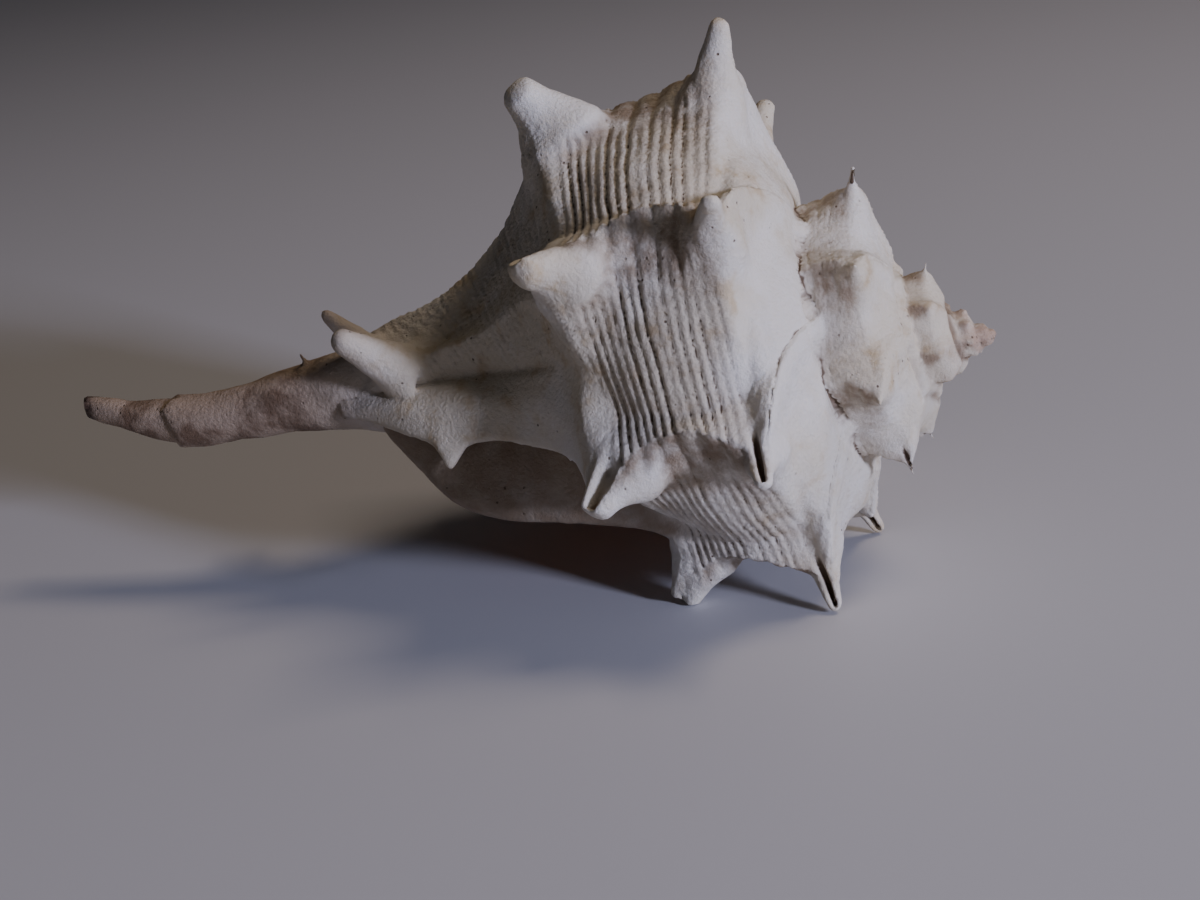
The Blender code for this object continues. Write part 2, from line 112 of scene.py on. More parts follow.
# %% Outlines and how the skin runs between them
# Base a, base r, crest a, crest r, how sharply the crest rises, how far it bends back in degrees, and the
# share of the step to the next varix over which it falls away again.
OUTLINE = (
    (12.3, 8.4, 12.1, 9.5, 2.0, 0.0, 0.05),
    (13.9, 11.6, 13.6, 12.9, 2.0, 0.0, 0.06),
    (15.6, 14.3, 15.1, 16.4, 2.4, 2.0, 0.07),
    (17.3, 16.3, 16.3, 20.9, 1.8, 8.0, 0.10),
    (19.6, 17.5, 19.0, 20.6, 3.2, 4.0, 0.07),
    (22.5, 17.8, 22.1, 19.5, 3.8, 1.0, 0.05),
    (25.5, 17.2, 25.5, 18.9, 3.4, 3.0, 0.05),
    (28.0, 16.0, 28.2, 19.2, 2.3, 8.0, 0.07),
    (30.0, 14.6, 30.8, 20.7, 2.0, 14.5, 0.12),
    (31.8, 13.0, 32.0, 16.0, 2.9, 15.0, 0.18),
    (34.0, 10.8, 34.6, 12.9, 3.0, 13.0, 0.25),
    (37.0, 7.9, 37.8, 10.8, 3.0, 12.0, 0.30),
    (40.0, 5.9, 40.8, 9.6, 3.0, 12.0, 0.30),
    (43.5, 4.6, 44.4, 9.0, 3.0, 12.0, 0.30),
    (47.0, 3.7, 47.8, 7.2, 3.0, 12.0, 0.30),
    (51.0, 3.0, 51.4, 5.2, 3.0, 6.0, 0.25),
    (55.0, 2.2, 55.0, 2.4, 3.0, 0.0, 0.20),
)
SUTURE_A, SHOULDER_A = OUTLINE[0][0], OUTLINE[3][0]
# The early whorls are slimmer: the share of the width left at the apex, and the growth that brings it back.
SLIM_SHARE, SLIM_FROM, SLIM_UNTIL = 0.6, 0.1, 0.5
# Their varices are rounder, from one growth angle to the other: sharpness, length, stoutness, extra height.
EARLY_FROM, EARLY_TO = -130.0, -260.0
EARLY_SHARPNESS, EARLY_FALL, EARLY_STOUTNESS, EARLY_HEIGHT = 2.8, 0.26, 1.1, 0.3
# The ramp between suture and shoulder swells between these shares of the way from varix to varix.
SWELL_FROM, SWELL_TO = 0.5, 0.95
# After the crest it keeps this share, which is gone at that share of the way to the next crest.
RAMP_KEPT, RAMP_FALL = 0.72, 0.7
# Part of that swelling is a rounded ridge along the lip.
RIDGE_SHARE, RIDGE_FROM, RIDGE_TO = 0.5, 0.76, 0.88
# Below the lower spines the crest stands out fully on these varices, and by this share on the others.
FLANGED_VARICES = (1,)
PLAIN_SHARE = 0.3
FLANGE_FROM_A = 33.0
# Towards the suture the growth line leads the shoulder, less so in the early whorls and at the lip.
SUTURE_LEAD, LEAST_LEAD = 32.0, 12.0
LEAD_PER_WHORL = 12.0
LEAD_POWER = 1.05
LIP_LEAD_LOSS = 0.6
LEAD_BELOW_SHOULDER = 0.6
# Under the flange of the first varix the older skin is tucked in: from which a, how gently, round which
# angle, how deep, and the least share of the radius that stays.
TUCK_FROM_A, TUCK_RUN_IN, TUCK_AT, TUCK_HALF_WIDTH = 33.0, 3.0, -54.0, 17.0
TUCK_DEPTH, TUCK_LEAST = 1.9, 0.6
# The skin never stands further from the axis than this, at these distances from the apex.
CANAL_CAP = (
    (36.0, 45.0, 50.0, 54.0, 57.0, 60.0, 64.0, 70.0, 80.0),
    (60.0, 15.0, 8.6, 5.8, 4.4, 3.4, 2.5, 1.7, 1.0),
)
# Degrees between growth lines, and how much less that is near a crest and more in the early whorls.
LINE_STEP, CREST_STEP, EARLY_STEP = 1.8, 0.4, 1.7
CREST_NEAR_FROM, CREST_NEAR_TO = 0.72, 0.12
LATE_DEGREES = 450.0


def blend_rows(rows, count):
    """Rows evenly spaced along a smooth curve through the given ones."""
    p = np.array(rows, float)
    ends = np.vstack([2 * p[0] - p[1], p, 2 * p[-1] - p[-2]])
    fine = []
    for i in range(len(p) - 1):
        t = np.linspace(0, 1, 16, endpoint=False)[:, None]
        p0, p1, p2, p3 = ends[i : i + 4]
        curve = 2 * p1 + (p2 - p0) * t + (2 * p0 - 5 * p1 + 4 * p2 - p3) * t**2
        curve += (3 * p1 - p0 - 3 * p2 + p3) * t**3
        fine.append(0.5 * curve)
    fine = np.vstack(fine + [p[-1:]])
    steps = np.linalg.norm(np.diff(fine[:, :2], axis=0), axis=1)
    along = np.concatenate([[0], np.cumsum(steps)])
    at = np.linspace(0, along[-1], count)
    return np.stack([np.interp(at, along, column) for column in fine.T], axis=1)


def smooth_step(value, low, high):
    t = np.clip((value - low) / (high - low), 0, 1)
    return t * t * (3 - 2 * t)


def early_share(psi):
    """1 on the whorls near the apex, 0 on the last."""
    return 1 - float(smooth_step(psi, EARLY_TO, EARLY_FROM))


def slim(k):
    """How wide a whorl of growth k is, against its full width."""
    return SLIM_SHARE + (1 - SLIM_SHARE) * smooth_step(k, SLIM_FROM, SLIM_UNTIL)


def lead_of(base_a, psi):
    """How far the growth line leads, from the shoulder up to the suture."""
    from_a = SHOULDER_A + LEAD_BELOW_SHOULDER
    up = np.clip((from_a - base_a) / (from_a - SUTURE_A), 0.0, 1.0)
    most = max(LEAST_LEAD, SUTURE_LEAD + LEAD_PER_WHORL * psi / 360.0)
    to_lip = min(1.0, max(0.0, (psi - crest_of(LAST_VARIX - 1)) / VARIX_STEP))
    return most * (1 - LIP_LEAD_LOSS * to_lip) * up**LEAD_POWER


def flange_share(rows, varix):
    if varix in FLANGED_VARICES:
        return 1.0
    low = np.clip((rows[:, 0] - FLANGE_FROM_A + 1.5) / 3.0, 0, 1)
    return 1 - (1 - PLAIN_SHARE) * low


def crest_share(rows, psi):
    """How much of the crest stands out at psi, for each row of the outline."""
    phase = phase_of(psi)
    varix = round((psi - FIRST_CREST) / VARIX_STEP - phase + 1)
    on_ramp = np.clip((SHOULDER_A - rows[:, 0]) / 2.0, 0, 1)
    early = early_share(psi)
    sharpness = rows[:, 4] + (EARLY_SHARPNESS - rows[:, 4]) * early
    swell = (1 - RIDGE_SHARE) * smooth_step(phase, SWELL_FROM, SWELL_TO)
    swell += RIDGE_SHARE * smooth_step(phase, RIDGE_FROM, RIDGE_TO)
    rise = (1 - on_ramp) * phase**sharpness + on_ramp * swell
    rise = rise * flange_share(rows, varix)
    if psi > crest_of(LAST_VARIX) - 1e-6:
        return rise
    fall_share = rows[:, 6] + (EARLY_FALL - rows[:, 6]) * early
    fall = np.clip(1 - phase / fall_share, 0, 1) ** 1.5 * flange_share(rows, varix - 1)
    kept = RAMP_KEPT * on_ramp * (1 - early) * np.clip(1 - phase / RAMP_FALL, 0, 1)
    return np.maximum(rise, np.maximum(fall, kept)) * (1 + EARLY_HEIGHT * early)


def skin_ring(rows, psi):
    """The outer skin along one growth line: a and r, psi, and how much of the crest stands out."""
    base, crest = rows[:, 0:2], rows[:, 2:4]
    share = crest_share(rows, psi)
    line = base + (crest - base) * share[:, None]
    turn = psi + lead_of(rows[:, 0], psi) - rows[:, 5] * share
    k = growth(turn)
    tuck = TUCK_DEPTH * np.exp(-(((turn - TUCK_AT) / TUCK_HALF_WIDTH) ** 2))
    tuck *= np.clip((line[:, 0] - TUCK_FROM_A) / TUCK_RUN_IN, 0, 1)
    reach = np.minimum(line[:, 1] * k * slim(k), np.interp(line[:, 0] * k, *CANAL_CAP))
    return np.stack([line[:, 0] * k, np.maximum(reach - tuck, TUCK_LEAST * reach)], axis=1), turn, share


def growth_stops():
    """The skin's growth lines, closer together near each crest and in the last whorls."""
    last = crest_of(LAST_VARIX)
    psi, stops = last - WHORLS * 360.0, []
    while psi < last - 0.3 * LINE_STEP:
        stops.append(psi)
        phase = phase_of(psi)
        near_crest = phase > CREST_NEAR_FROM or phase < CREST_NEAR_TO
        late = psi > last - LATE_DEGREES
        psi += LINE_STEP * (CREST_STEP if near_crest else 1.0) * (1.0 if late else EARLY_STEP)
    return stops + [last]


print("growth lines in the skin:", len(growth_stops()))

# %% [markdown]
# ## One list of forms
# Each form is a closed tube: a stack of loops with the same number of points. Besides its place, every point
# keeps what it is on the shell: how far round the spiral it grew, where on the outline it lies, and whether
# it is inside the aperture. The relief and the colours need that later.

# %% A form, with what each point is on the shell
forms = []
# What is kept for each point: growth angle, distance along the outline, share of crest, inside, kind of form.
KINDS = {"whorls": 0, "canal": 1, "inner_lip": 2, "spine": 3, "flange": 4}


def add_form(kind, loops, grown=0.0, across=0.0, crest=0.0, inside=0.0):
    """Keeps a closed form: its points, triangles and one row of facts for each point."""
    loops = np.array(loops)
    count, size = loops.shape[:2]
    points = np.vstack([loops.reshape(-1, 3), loops[0].mean(0)[None], loops[-1].mean(0)[None]])
    facts = np.zeros((len(points), 5))
    for column, value in enumerate((grown, across, crest, inside)):
        facts[: count * size, column] = np.broadcast_to(value, (count, size)).reshape(-1)
        facts[-2, column] = facts[:size, column].mean()
        facts[-1, column] = facts[(count - 1) * size : count * size, column].mean()
    facts[:, 4] = KINDS[kind]
    i, j = (grid.reshape(-1) for grid in np.meshgrid(np.arange(count - 1), np.arange(size), indexing="ij"))
    following = (j + 1) % size
    a, b = i * size + j, i * size + following
    c, d = (i + 1) * size + following, (i + 1) * size + j
    ring = np.arange(size)
    ahead = (ring + 1) % size
    first, last, base = count * size, count * size + 1, (count - 1) * size
    fans = [
        np.stack([np.full(size, first), ahead, ring], 1),
        np.stack([np.full(size, last), base + ring, base + ahead], 1),
    ]
    forms.append((points, np.vstack([np.stack([a, b, c], 1), np.stack([a, c, d], 1)] + fans), facts))


# %% [markdown]
# ## The whorls and the aperture
# The skin is swept from the apex to the lip. There the same sweep turns round and goes back inside, a wall's
# thickness further in, so the last whorl is hollow behind its lip as in the real shell. A thickness modifier
# could do that too, but it would also thicken the parts where old whorls lie on each other.

# %% Sweep the whorls
# The wall's thickness inside and at the lip, and the radius of the pillar round the axis.
WALL, LIP_WALL = 1.5, 1.2
COLUMELLA_RADIUS = 3.4
# Degrees: how far the hollow goes back, its steps, and how far in the lip's flare and the glaze change.
POCKET_TURN, POCKET_STEP = 250.0, 4.0
NEAR_LIP = [0.0, 0.8, 1.8, 3.2, 5.0, 7.2, 10.0, 13.0, 16.0]
FLARE_TURN, GLAZE_TURN, GLAZE_AT_LIP = 13.0, 6.0, 0.35
MOUTH_FROM_A, MOUTH_MIDDLE_A, MOUTH_TO_A = 15.2, 24.0, 35.5
COLUMNS = 170
ACROSS = COLUMNS // 3


def sweep_whorls():
    rows = blend_rows(OUTLINE, COLUMNS)
    base = rows[:, 0:2]
    along = np.concatenate([[0], np.cumsum(np.linalg.norm(np.diff(base, axis=0), axis=1))])
    loops, grown, crests, inside = [], [], [], []
    for psi in growth_stops():
        line, turn, share = skin_ring(rows, psi)
        core_a = np.linspace(line[-1, 0], line[0, 0], ACROSS)
        loops.append(np.vstack([place(line[:, 0], line[:, 1], turn), place(core_a, np.zeros(ACROSS), 0.0)]))
        grown.append(psi)
        crests.append(np.concatenate([share, np.zeros(ACROSS)]))
        inside.append(0.0)
    last = crest_of(LAST_VARIX)
    lip, lip_turn, lip_share = skin_ring(rows, last)
    lip = lip / growth(lip_turn)[:, None]
    tangent = np.gradient(base, axis=0)
    tangent /= np.linalg.norm(tangent, axis=1)[:, None]
    inward = np.stack([tangent[:, 1], -tangent[:, 0]], axis=1)
    for back in NEAR_LIP + list(np.arange(NEAR_LIP[-1] + POCKET_STEP, POCKET_TURN, POCKET_STEP)):
        flare = max(0.0, 1 - back / FLARE_TURN) ** 1.6
        outer = base + (lip - base) * flare
        turn = lip_turn + (last + lead_of(rows[:, 0], last) - lip_turn) * (1 - flare) - back
        k = growth(turn)
        wall = WALL + (LIP_WALL - WALL) * flare
        line = outer + inward * (wall / k)[:, None]
        shrink = 1 - 0.5 * (back / POCKET_TURN) ** 2
        mouth_a = np.clip(line[:, 0], MOUTH_FROM_A, MOUTH_TO_A)
        a = MOUTH_MIDDLE_A + (mouth_a - MOUTH_MIDDLE_A) * shrink
        r = COLUMELLA_RADIUS + (np.maximum(line[:, 1], COLUMELLA_RADIUS + 0.4) - COLUMELLA_RADIUS) * shrink
        side = np.linspace(0, 1, ACROSS)
        side_a = a[-1] * k[-1] + (a[0] * k[0] - a[-1] * k[-1]) * side
        side_k = k[-1] + (k[0] - k[-1]) * side
        side_turn = turn[-1] + (turn[0] - turn[-1]) * side
        room = np.interp(a * k, *CANAL_CAP) - WALL
        reach = np.maximum(np.minimum(r * k, room), COLUMELLA_RADIUS * k)
        pillar = place(side_a, COLUMELLA_RADIUS * side_k, side_turn)
        loops.append(np.vstack([place(a * k, reach, turn), pillar]))
        grown.append(last)
        crests.append(np.concatenate([lip_share * flare, np.zeros(ACROSS)]))
        inside.append(min(1.0, GLAZE_AT_LIP + back / GLAZE_TURN))
    across = np.concatenate([along, np.zeros(ACROSS)])
    grown, inside = np.array(grown)[:, None], np.array(inside)[:, None]
    add_form("whorls", loops, grown, across[None], np.array(crests), inside)


sweep_whorls()
print("whorls:", len(forms[0][0]), "points")

# %% [markdown]
# ## Spines
# A spine is the lip pulled out into a gutter and then nearly closed, so it is a tapered tube with a groove on
# the side that faced new growth. The tubes bend back, and those at the foot of the last whorl have lost their
# ends: there a tube's last loops turn back inside, which leaves an open, broken tip.

# %% Spines of the shoulder and the lower row
# For each row: a and r of tip and root, how many degrees they lie behind the crest (lag), the radius at root
# (wide) and tip (point), what is left of it at the foot, the root's share along growth (deep) and across it
# (broad), the first varix with a spine, the lip's own values, the slit's half width, and how strong the
# shade painted in the slit is.
SPINE_ROWS = {
    "shoulder": dict(
        tip=(16.2, 23.5), lag=9.7, root=(18.0, 16.0), root_lag=12.5, wide=3.3, point=0.65,
        deep=0.85, broad=1.15, foot=0.7, first=-15, lip_lag=2.3, lip_root=(18.0, 16.0), lip_root_lag=4.3,
        slit=0.3, shade_in_slit=1.0,
    ),
    "lower": dict(
        tip=(30.6, 21.1), lag=16.5, root=(27.4, 15.5), root_lag=14.0, wide=4.5, point=1.3,
        deep=0.85, broad=1.15, foot=0.4, first=0, lip_lag=0.9, lip_root=(28.2, 17.4), lip_root_lag=9.0,
        slit=0.8, shade_in_slit=0.3,
    ),
}
# Broken tips, and how much thicker a spine is where it broke.
BROKEN = (("lower", 0), ("shoulder", -5), ("shoulder", -6))
BROKEN_STOUTNESS = 1.15
# At the lip a spine starts thin, inside the edge, and has its full width this far along.
LIP_FOOT, LIP_FOOT_TO = 0.2, 0.6
# The groove in the tube: its reach to each side in millimetres, and its depth.
GROOVE_WIDTH, GROOVE_DEPTH = 0.55, 0.8
# Shares of the length: where a tip starts to round, and where a broken one ends.
ROUND_FROM, BROKEN_AT = 0.92, 0.96
ROUNDING = [0.945, 0.965, 0.98, 0.992, 1.0]
SPINE_TAPER = 1.7
# For carving the slits and painting shade in them: line, cross directions, growth, half width and strength of
# the painted shade, for each whole spine.
slits = []


def spine_path(row, varix, steps):
    """Points from the root of a spine, inside the whorl, to its tip, which bends back."""
    spec = SPINE_ROWS[row]
    crest = crest_of(varix)
    k = growth(crest)
    at_lip = varix == LAST_VARIX
    lag = spec["lip_lag"] if at_lip else spec["lag"]
    root_lag = spec["lip_root_lag"] if at_lip else spec["root_lag"]
    root_a, root_r = spec["lip_root"] if at_lip else spec["root"]
    width = k * slim(k)
    root = place(root_a * k, root_r * width, crest - root_lag)
    tip = place(spec["tip"][0] * k, spec["tip"][1] * width, crest - lag)
    knee_a = 0.45 * root_a + 0.55 * spec["tip"][0]
    knee_r = 0.4 * root_r + 0.6 * spec["tip"][1]
    knee_lag = 0.5 * (lag + root_lag) if at_lip else 0.5 * lag + 2.0
    knee = place(knee_a * k, knee_r * width, crest - knee_lag)
    u = steps[:, None]
    return (1 - u) ** 2 * root + 2 * u * (1 - u) * knee + u**2 * tip, k


def add_spine(row, varix, sides=64):
    spec = SPINE_ROWS[row]
    broken = (row, varix) in BROKEN
    point = spec["point"] * (BROKEN_STOUTNESS if broken else 1.0)
    stout = 1 + (EARLY_STOUTNESS - 1) * early_share(crest_of(varix))
    foot, foot_to = (LIP_FOOT, LIP_FOOT_TO) if varix == LAST_VARIX else (spec["foot"], 0.2)
    rounding = [] if broken else ROUNDING
    u = np.concatenate([np.linspace(0, BROKEN_AT if broken else ROUND_FROM, 24), rounding])
    path, k = spine_path(row, varix, u)
    tangent = np.gradient(path, axis=0)
    tangent /= np.linalg.norm(tangent, axis=1)[:, None]
    turn = math.radians(crest_of(varix) - spec["lag"])
    ahead = np.array([0.0, math.sin(turn), math.cos(turn)])
    phi = np.linspace(-math.pi, math.pi, sides, endpoint=False)
    loops, sides_of = [], []
    for at, centre, out in zip(u, path, tangent):
        front = ahead - out * (ahead @ out)
        front /= np.linalg.norm(front)
        side = np.cross(out, front)
        sides_of.append((front, side))
        wide = point + (spec["wide"] - point) * (1 - at) ** SPINE_TAPER
        wide *= (foot + (1 - foot) * float(smooth_step(at, 0.0, foot_to))) * stout
        if at > ROUND_FROM and not broken:
            wide *= math.sqrt(max(0.03, 1 - ((at - ROUND_FROM) / 0.08) ** 2))
        groove = GROOVE_DEPTH * np.exp(-((phi * wide * k / GROOVE_WIDTH) ** 2))
        groove *= min(1.0, max(0.0, (0.99 - at) * 10))
        reach = (wide * k * (1 - groove))[:, None]
        deep, broad = 1 + (spec["deep"] - 1) * (1 - at), 1 + (spec["broad"] - 1) * (1 - at)
        rim = deep * np.cos(phi)[:, None] * front + broad * np.sin(phi)[:, None] * side
        loops.append(centre + reach * rim)
    if not broken and (row, varix) != ("lower", LAST_VARIX):
        slits.append((path, np.array(sides_of), k, spec["slit"], spec["shade_in_slit"]))
    if broken:
        loops += [path[-1 - n] + (loops[-1] - path[-1]) * (0.64 - 0.05 * n) for n in range(4)]
    add_form("spine", loops, grown=crest_of(varix), crest=1.0)


for row, spec in SPINE_ROWS.items():
    for varix in range(spec["first"], LAST_VARIX + 1):
        add_spine(row, varix)
print("spines:", len(forms) - 1)

# %% [markdown]
# ## The canal
# Below the whorls the lip is drawn out into a long tube that held the snail's siphon. It is a bent tube
# with a slit along its underside and a few small spines at its top.

# %% The canal and its small spines
# The canal's line: x, y, z and radius.
CANAL = (
    (-30.0, 0.0, 0.0, 3.0),
    (-40.0, 0.0, 0.0, 4.4),
    (-48.0, 0.0, 0.8, 4.2),
    (-55.0, 0.0, 1.3, 3.4),
    (-60.0, 0.0, 1.0, 2.8),
    (-65.0, 0.0, 0.35, 2.35),
    (-69.4, 0.0, 0.05, 2.15),
    (-73.4, 0.0, 0.45, 2.05),
    (-76.0, 0.0, 1.05, 1.65),
    (-79.0, 0.0, 1.9, 1.35),
    (-80.3, 0.0, 2.25, 1.1),
)
# The canal's slit: its place round the tube in degrees, its depth, and its half width in radians.
CANAL_SLIT_AT, CANAL_SLIT_DEPTH, CANAL_SLIT_WIDTH = 215.0, 0.6, 0.22
# Small spines: a, r and psi of the tip and of the root, and the radius at the tip and at the root.
CANAL_SPINES = (
    (52.6, 10.2, 29.0, 48.2, 4.2, 24.0, 1.0, 2.6),
    (55.3, 8.8, 60.0, 51.6, 4.6, 56.0, 0.55, 1.7),
    (58.7, 5.2, 62.0, 56.4, 2.0, 58.0, 0.35, 1.1),
    (61.0, 6.4, 138.0, 57.0, 2.2, 130.0, 0.5, 1.6),
    (64.0, 8.4, 185.0, 58.6, 3.0, 180.0, 0.5, 1.8),
)


def add_canal(sides=56):
    phi = np.linspace(0, 2 * math.pi, sides, endpoint=False)
    apart = (phi - math.radians(CANAL_SLIT_AT) + math.pi) % (2 * math.pi) - math.pi
    loops = []
    for x, y, z, radius in blend_rows(CANAL, 110):
        reach = radius * (1 - CANAL_SLIT_DEPTH * np.exp(-((apart / CANAL_SLIT_WIDTH) ** 2)))
        loops.append(np.stack([np.full(sides, x), y - reach * np.cos(phi), z + reach * np.sin(phi)], axis=1))
    add_form("canal", loops)


def add_canal_spine(tip_a, tip_r, tip_psi, root_a, root_r, root_psi, point, wide, sides=24):
    """A small blunt cone."""
    tip, root = place(tip_a, tip_r, tip_psi), place(root_a, root_r, root_psi)
    out = (tip - root) / np.linalg.norm(tip - root)
    front = np.cross(out, place(0.0, 1.0, tip_psi))
    front /= np.linalg.norm(front)
    side = np.cross(out, front)
    phi = np.linspace(0, 2 * math.pi, sides, endpoint=False)
    loops = []
    for u in list(np.linspace(0, 0.88, 14)) + [0.92, 0.95, 0.975, 0.99, 1.0]:
        reach = point + (wide - point) * (1 - u) ** 1.5
        if u > 0.88:
            reach *= math.sqrt(max(0.05, 1 - ((u - 0.88) / 0.12) ** 2))
        rim = np.cos(phi)[:, None] * front + np.sin(phi)[:, None] * side
        loops.append(root + (tip - root) * u + reach * rim)
    add_form("spine", loops, crest=1.0)


add_canal()
for spec in CANAL_SPINES:
    add_canal_spine(*spec)
print("canal and small spines:", 1 + len(CANAL_SPINES))

# %% [markdown]
# ## The inner lip
# Where the snail's foot came out, it laid a smooth glaze over the old whorl and drew it out into a thin
# plate. The plate's edge stands free below the front of the shell.

# %% The inner lip
# Each row holds a, the root's distance from the axis, the bulge of its front, its edge's y and z, and where
# its back meets the aperture.
INNER_LIP = (
    (20.0, 9.0, 9.0, -3.0, -11.0, 8.0),
    (25.0, 9.0, 9.0, -4.5, -14.0, 7.0),
    (30.0, 7.6, 7.8, -4.6, -12.6, 6.0),
    (36.0, 5.8, 6.4, -4.4, -11.7, 5.0),
    (41.0, 4.6, 5.6, -4.2, -11.0, 4.4),
    (45.0, 3.8, 4.9, -3.8, -9.4, 4.0),
    (48.0, 3.4, 4.4, -2.8, -6.6, 3.4),
    (51.5, 2.6, 2.8, -1.2, -3.0, 2.6),
)


def ring_across(a, ring, sides):
    """A closed loop across the axis at a, on a smooth curve through the given y and z."""
    closed = blend_rows(ring + ring[:1], sides + 1)[:-1]
    return np.stack([np.full(sides, -a), closed[:, 0], closed[:, 1]], axis=1)


def add_inner_lip():
    loops = []
    sides = 72
    for a, root, front, edge_y, edge_z, back in blend_rows(INNER_LIP, 60):
        ring = [
            (-root, 0.12 * edge_z),
            (-front, 0.42 * edge_z),
            (0.5 * (edge_y - front) - 0.7, 0.74 * edge_z),
            (edge_y - 0.9, 0.95 * edge_z),
            (edge_y + 0.2, edge_z),
            (edge_y + 1.4, 0.9 * edge_z),
            (edge_y + 3.0, 0.62 * edge_z),
            (back, -2.2),
            (0.5 * back, 1.5),
        ]
        loops.append(ring_across(a, ring, sides))
    at = np.arange(sides) / sides
    glazed = np.clip((at - 0.40) / 0.06, 0, 1) * np.clip((0.86 - at) / 0.05, 0, 1)
    add_form("inner_lip", loops, inside=glazed[None])


add_inner_lip()
print("inner lip:", len(INNER_LIP), "rows")

# %% [markdown]
# ## The old lip's flange
# Towards the canal the first varix in view is a broad flange: the lip of its time, folded outward. Its edge
# stands free and ends in a small hook. It needs its own form, because the spiral's outline has no free edge.

# %% The flange
# Each row holds a, then y and z of the seam with the newer shell, of the bulge, and of the free edge.
FLANGE = (
    (27.4, -11.4, 0.6, -12.4, -4.6, -12.2, -8.0),
    (28.8, -13.5, 0.8, -14.6, -5.4, -14.6, -9.8),
    (30.2, -14.2, 0.8, -15.2, -5.6, -15.2, -10.4),
    (31.6, -12.8, 0.7, -13.4, -4.6, -12.4, -8.2),
    (34.2, -10.7, 0.4, -10.9, -3.0, -9.2, -6.1),
    (37.5, -8.0, 0.5, -8.9, -2.1, -8.0, -5.1),
    (40.1, -6.3, 0.7, -7.9, -1.7, -7.2, -4.5),
    (42.6, -5.3, 0.8, -7.2, -1.7, -6.9, -4.7),
    (44.3, -4.9, 0.8, -6.9, -1.8, -6.9, -6.3),
    (45.6, -4.7, 0.7, -6.5, -1.5, -6.6, -4.4),
    (49.0, -4.0, 0.6, -5.6, -1.1, -5.3, -3.0),
    (52.0, -3.2, 0.5, -4.5, -0.7, -4.1, -1.9),
    (55.0, -2.6, 0.5, -3.4, -0.4, -3.0, -1.2),
)
FLANGE_THICKNESS = 0.85


def add_flange():
    sides = 64
    loops = []
    for a, seam_y, seam_z, bulge_y, bulge_z, edge_y, edge_z in blend_rows(FLANGE, 76):
        ring = [
            (0.55 * seam_y, seam_z),
            (seam_y, seam_z),
            (0.5 * (seam_y + bulge_y) - 0.3, 0.5 * (seam_z + bulge_z)),
            (bulge_y, bulge_z),
            (0.5 * (bulge_y + edge_y) - 0.15, 0.5 * (bulge_z + edge_z)),
            (edge_y - 0.1, edge_z),
            (edge_y + 0.5, edge_z - 0.1),
            (0.5 * (bulge_y + edge_y) + FLANGE_THICKNESS, 0.5 * (bulge_z + edge_z) + 0.3),
            (0.6 * bulge_y, bulge_z + 0.2),
        ]
        loops.append(ring_across(a, ring, sides))
    add_form("flange", loops, crest=1.0)


add_flange()
print("forms in all:", len(forms))

# %% [markdown]
# ## One skin
# The forms cross each other, as old and new shell do inside a real one. A voxel remesh takes the outer skin
# of all of them at once, which a chain of Booleans would do more slowly and less safely. A light smoothing
# then rounds the joins, and loose crumbs inside are dropped.

# %% Fuse the forms
VOXEL = 0.21
SMOOTH_STEPS = 4


def join_forms():
    start, points, faces, facts = 0, [], [], []
    for form_points, form_faces, form_facts in forms:
        points.append(form_points)
        faces.append(form_faces + start)
        facts.append(form_facts)
        start += len(form_points)
    return np.vstack(points), np.vstack(faces), np.vstack(facts)


def edge_ends(mesh):
    flat = np.empty(len(mesh.edges) * 2, np.int32)
    mesh.edges.foreach_get("vertices", flat)
    return flat.reshape(-1, 2)


def keep_largest(mesh):
    """Drops every loose piece of the mesh but the largest."""
    edges = edge_ends(mesh)
    label = np.arange(len(mesh.vertices))
    while True:
        lowest = label.copy()
        np.minimum.at(lowest, edges[:, 0], label[edges[:, 1]])
        np.minimum.at(lowest, edges[:, 1], label[edges[:, 0]])
        lowest = lowest[lowest]
        if (lowest == label).all():
            break
        label = lowest
    names, sizes = np.unique(label, return_counts=True)
    crumbs = np.flatnonzero(label != names[sizes.argmax()])
    if len(crumbs):
        work = bmesh.new()
        work.from_mesh(mesh)
        work.verts.ensure_lookup_table()
        bmesh.ops.delete(work, geom=[work.verts[i] for i in crumbs], context="VERTS")
        work.to_mesh(mesh)
        work.free()


def apply_modifiers(obj):
    bpy.context.view_layer.update()
    graph = bpy.context.evaluated_depsgraph_get()
    obj.data = bpy.data.meshes.new_from_object(obj.evaluated_get(graph))
    obj.modifiers.clear()


def point_values(mesh, what):
    """Three numbers for each point: its place (co) or its normal."""
    flat = np.empty(len(mesh.vertices) * 3, np.float32)
    mesh.vertices.foreach_get(what, flat)
    return flat.reshape(-1, 3).astype(float)


def move_points(mesh, points):
    mesh.vertices.foreach_set("co", (points * MM).astype(np.float32).reshape(-1))
    mesh.update()


def add_object(name, data):
    obj = bpy.data.objects.new(name, data)
    bpy.context.scene.collection.objects.link(obj)
    return obj


form_points, form_faces, form_facts = join_forms()
raw = bpy.data.meshes.new("forms")
raw.from_pydata(form_points * MM, [], form_faces.tolist())
shell = add_object("shell_skin", raw)
remesh = shell.modifiers.new("one_skin", "REMESH")
remesh.mode = "VOXEL"
remesh.voxel_size = VOXEL * MM
soften = shell.modifiers.new("soften", "SMOOTH")
soften.factor = 0.5
soften.iterations = SMOOTH_STEPS
apply_modifiers(shell)
skin = shell.data
keep_largest(skin)
print("fused skin:", len(skin.vertices), "points")

# %% [markdown]
# ## Reading the shell's own coordinates back
# The fused skin has forgotten where each point grew. The nearest point of the forms still knows, so each
# skin point takes its facts from there: growth and outline from the whorls, also on a spine, whose foot
# carries the same cords; the rest from whatever form is nearest.

